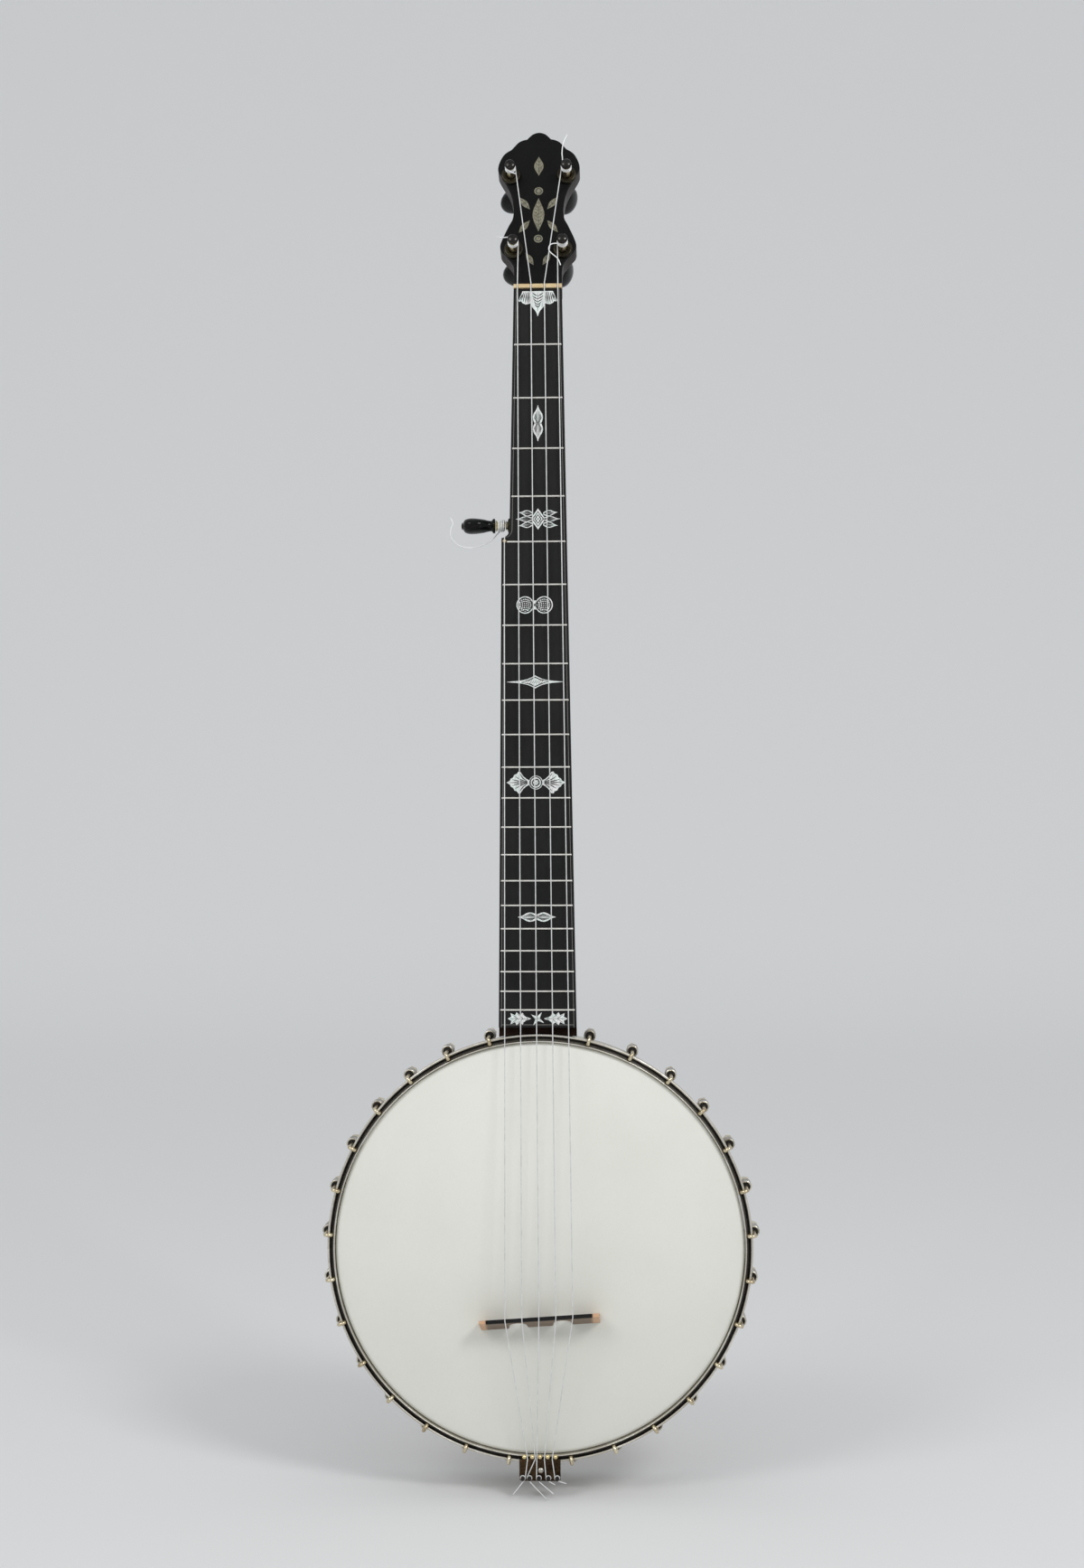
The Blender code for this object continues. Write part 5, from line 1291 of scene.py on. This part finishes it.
def hitch_places():
    back = RIM_RADIUS + TAILPIECE_FRONT + TAILPIECE_LENGTH
    return [(x * MM, -back + HITCH_INSET) for x in HITCH_X]


# Pieces that keep a node's shape: look, slot and the width of their softened edges in mm
FINISHED = {"dowel_stick": ("maple", "maple", 0.6), "neck_brace": ("brass", "brass", 0.35),
            "brace_screw": ("brass", "brass", 0.3), "end_bolt": ("brass", "brass", 0.5),
            "tailpiece_bracket": ("tail_brass", "brass", 0.35), "tailpiece": ("tail_brass", "brass", 0.22),
            "tailpiece_bolt": ("nickel_silver", "brass", 0.25), "bridge": ("bridge_maple", "maple", 0.3),
            "bridge_cap": ("ebony", "ebony", 0.2)}


def build_rest():
    for node, (look, slot, width) in FINISHED.items():
        from_node(node, look, width * MM)
    front = RIM_RADIUS + TAILPIECE_FRONT
    face = -TAILPIECE_LIFT - TAILPIECE_THICKNESS
    bm = bmesh.new()
    for i in (-2, -1, 0, 1, 2):
        centre = pot_matrix @ Vector((i * FINGER_SPACING, face + 0.1 * MM, -front - 0.3 * MM))
        bmesh.ops.create_uvsphere(bm, u_segments=20, v_segments=12, radius=FINGER_BEAD,
                                  matrix=Matrix.Translation(centre))
    add_mesh("finger_beads", bm, "bead_brass")
    r, h = HITCH_RADIUS, HITCH_HEIGHT
    profile = [(r, -0.8 * MM), (r, h - 1.1 * MM), (1.5 * r, h - 0.6 * MM), (1.6 * r, h - 0.2 * MM),
               (1.1 * r, h + 0.1 * MM)]
    bm = bmesh.new()
    for x, z in hitch_places():
        turned(bm, profile, 16, pot_matrix @ standing(x, face, z))
    add_mesh("hitch_posts", bm, "dark_nickel")


# Strings

def bridge_matrix():
    z = (nut_matrix @ Vector((0, 0, BRIDGE_SHORT_OF_SCALE - SCALE_LENGTH))).z
    return Matrix.Translation((0, pot_matrix.translation.y, z)) @ Matrix.Rotation(-BRIDGE_TURN, 4, "Y")


def add_string(name, points, node, body, look="gut"):
    curve = bpy.data.curves.new(name, "CURVE")
    curve.dimensions = "3D"
    curve.bevel_depth = STRING_RADIUS
    curve.bevel_resolution = 3
    curve.use_fill_caps = True
    spline = curve.splines.new("POLY")
    spline.points.add(len(points) - 1)
    for point, place in zip(spline.points, points):
        point.co = (*place, 1)
    return finish_piece(name, curve, look, [node], body)


def touch_angle(matrix, place, radius, way):
    local = matrix.inverted() @ place
    return math.atan2(local.y, local.x) - way * math.acos(radius / Vector((local.x, local.y)).length)


def coil(matrix, radius, start, sweep, low, rise, steps):
    points = []
    for i in range(steps + 1):
        a = start + sweep * i / steps
        points.append(matrix @ Vector((radius * math.cos(a), radius * math.sin(a), low + rise * i / steps)))
    return points


def build_strings():
    board_face = nut_matrix @ Matrix.Translation((0, -BOARD_THICKNESS, 0))
    over = GAP + STRING_RADIUS
    wrap_radius = POST_BARREL + over
    plate_face = -TAILPIECE_LIFT - TAILPIECE_THICKNESS - over
    pitch = WINDING_PITCH
    front = RIM_RADIUS + TAILPIECE_FRONT
    for number, matrix in enumerate(peg_matrices(), 1):
        x, z = hitch_places()[number - 1]
        hitch = pot_matrix @ standing(x, plate_face, z)
        edge = pot_matrix @ Vector((TAIL_STRING_X[number - 1] * MM, plate_face, -front - 1.4 * MM))
        way = 1 if number == 5 else -1
        radius = HITCH_RADIUS + over
        touch = touch_angle(hitch, edge, radius, way)
        loop = coil(hitch, radius, touch, -way * HITCH_SWEEP, 0, pitch, 20)
        tag = Vector(TAGS[number - 1]) * MM
        bends = [loop[-1] + tag, loop[-1] + 0.5 * tag + Vector((0, -0.3 * MM, 0)), loop[-1]]
        points = smooth_path(bends, 5)[:-1] + loop[::-1] + [edge]
        x = (3 - number) * BRIDGE_STRING_SPACING
        points.append(bridge_matrix() @ Vector((x, -BRIDGE_HEIGHT - over, 0)))
        if number < 5:
            x, y = (2.5 - number) * NUT_STRING_SPACING, -NUT_ABOVE_BOARD + NUT_SLOT_DEPTH - over
            points += [board_face @ Vector((x, y, 0)), board_face @ Vector((x, y + 0.4 * MM, NUT_LENGTH))]
        else:
            points.append(board_face @ Vector((PIP_X, -PIP_ABOVE_BOARD - over, -pip_from_nut)))
        way, height, whole_turns, leave = WINDINGS[number - 1]
        touch = touch_angle(matrix, points[-1], wrap_radius, way)
        points += coil(matrix, wrap_radius, touch, -way * WRAP_SWEEP, height, 0, 12)
        add_string(f"gut_string_{number}", points, f"string_{number}", BODY)

        begin = touch - way * math.pi
        part = (way * (begin - math.radians(leave)) - math.pi / 2) % (2 * math.pi)
        turns = whole_turns + part / (2 * math.pi)
        if part > math.radians(150):
            turns -= 1
        steps = round(turns * WINDING_POINTS)
        sweep = -way * turns * 2 * math.pi
        winding = coil(matrix, wrap_radius, begin, sweep, height + pitch, pitch * turns, steps)
        if number == 5:
            # A second layer goes back over the first
            winding += coil(matrix, wrap_radius + 1.6 * STRING_RADIUS, begin + sweep,
                            -way * 2 * math.pi * whole_turns, height + pitch + pitch * turns,
                            -pitch * whole_turns, whole_turns * WINDING_POINTS)
        turn = matrix.to_3x3()
        bends = [winding[-1] + turn @ Vector(bend) * MM for bend in TAILS[number - 1]]
        winding += smooth_path([winding[-1]] + bends, 6)[1:]
        add_string(f"gut_winding_{number}", winding, f"peg_{number}_winding", f"peg_{number}",
                   "gut_white")


# Floor, light and camera

def build_stage():
    # The floor goes up behind the banjo in one wide curve
    z = cad_box[0][2] - 1 * MM
    line = [(-6, z), (3, z)] + [(y, z + 3 + up) for y, up in arc((3, 0), 3, -87, 0, 29)] + [(6, z + 9)]
    points = [(x, y, up) for y, up in line for x in (-9, 9)]
    sides = [(i, i + 1, i + 3, i + 2) for i in range(0, len(points) - 2, 2)]
    floor = bpy.data.meshes.new("floor")
    floor.from_pydata(points, [], sides)
    floor.shade_smooth()
    piece = bpy.data.objects.new("floor", floor)
    bpy.context.collection.objects.link(piece)
    floor.materials.append(make_floor())
    for name, (place, size, power, target) in LAMPS.items():
        lamp = bpy.data.lights.new(name, "AREA")
        lamp.size = size
        lamp.energy = power
        light = bpy.data.objects.new(name, lamp)
        bpy.context.collection.objects.link(light)
        light.location = place
        light.rotation_euler = (Vector(target) - Vector(place)).to_track_quat("-Z", "Y").to_euler()
    world = bpy.data.worlds.new("studio")
    world.use_nodes = True
    background = world.node_tree.nodes["Background"]
    background.inputs["Color"].default_value = SKY
    background.inputs["Strength"].default_value = SKY_STRENGTH
    bpy.context.scene.world = world
    bpy.context.scene.view_settings.view_transform = "Standard"

    data = bpy.data.cameras.new("camera")
    data.sensor_width = 36
    data.lens = 36 * FOCAL_PIXELS / IMAGE_LONG_SIDE
    data.clip_start, data.clip_end = 0.05, 50
    camera = bpy.data.objects.new("camera", data)
    bpy.context.collection.objects.link(camera)
    rx, ry, rz = (math.radians(a) for a in CAMERA_TURN)
    turn = Matrix.Rotation(rz, 3, "Z") @ Matrix.Rotation(ry, 3, "Y") @ Matrix.Rotation(rx, 3, "X")
    upright = Matrix(((1, 0, 0), (0, 0, 1), (0, -1, 0)))
    place = (turn @ upright).transposed().to_4x4()
    place.translation = CAMERA_PLACE
    camera.matrix_world = place
    bpy.context.scene.camera = camera


build_stage()
build_neck()
build_fingerboard()
build_all_inlays()
for peg_number, peg_matrix in enumerate(peg_matrices(), 1):
    build_peg(peg_number, peg_matrix)
build_pot()
build_brackets()
build_rest()
build_strings()
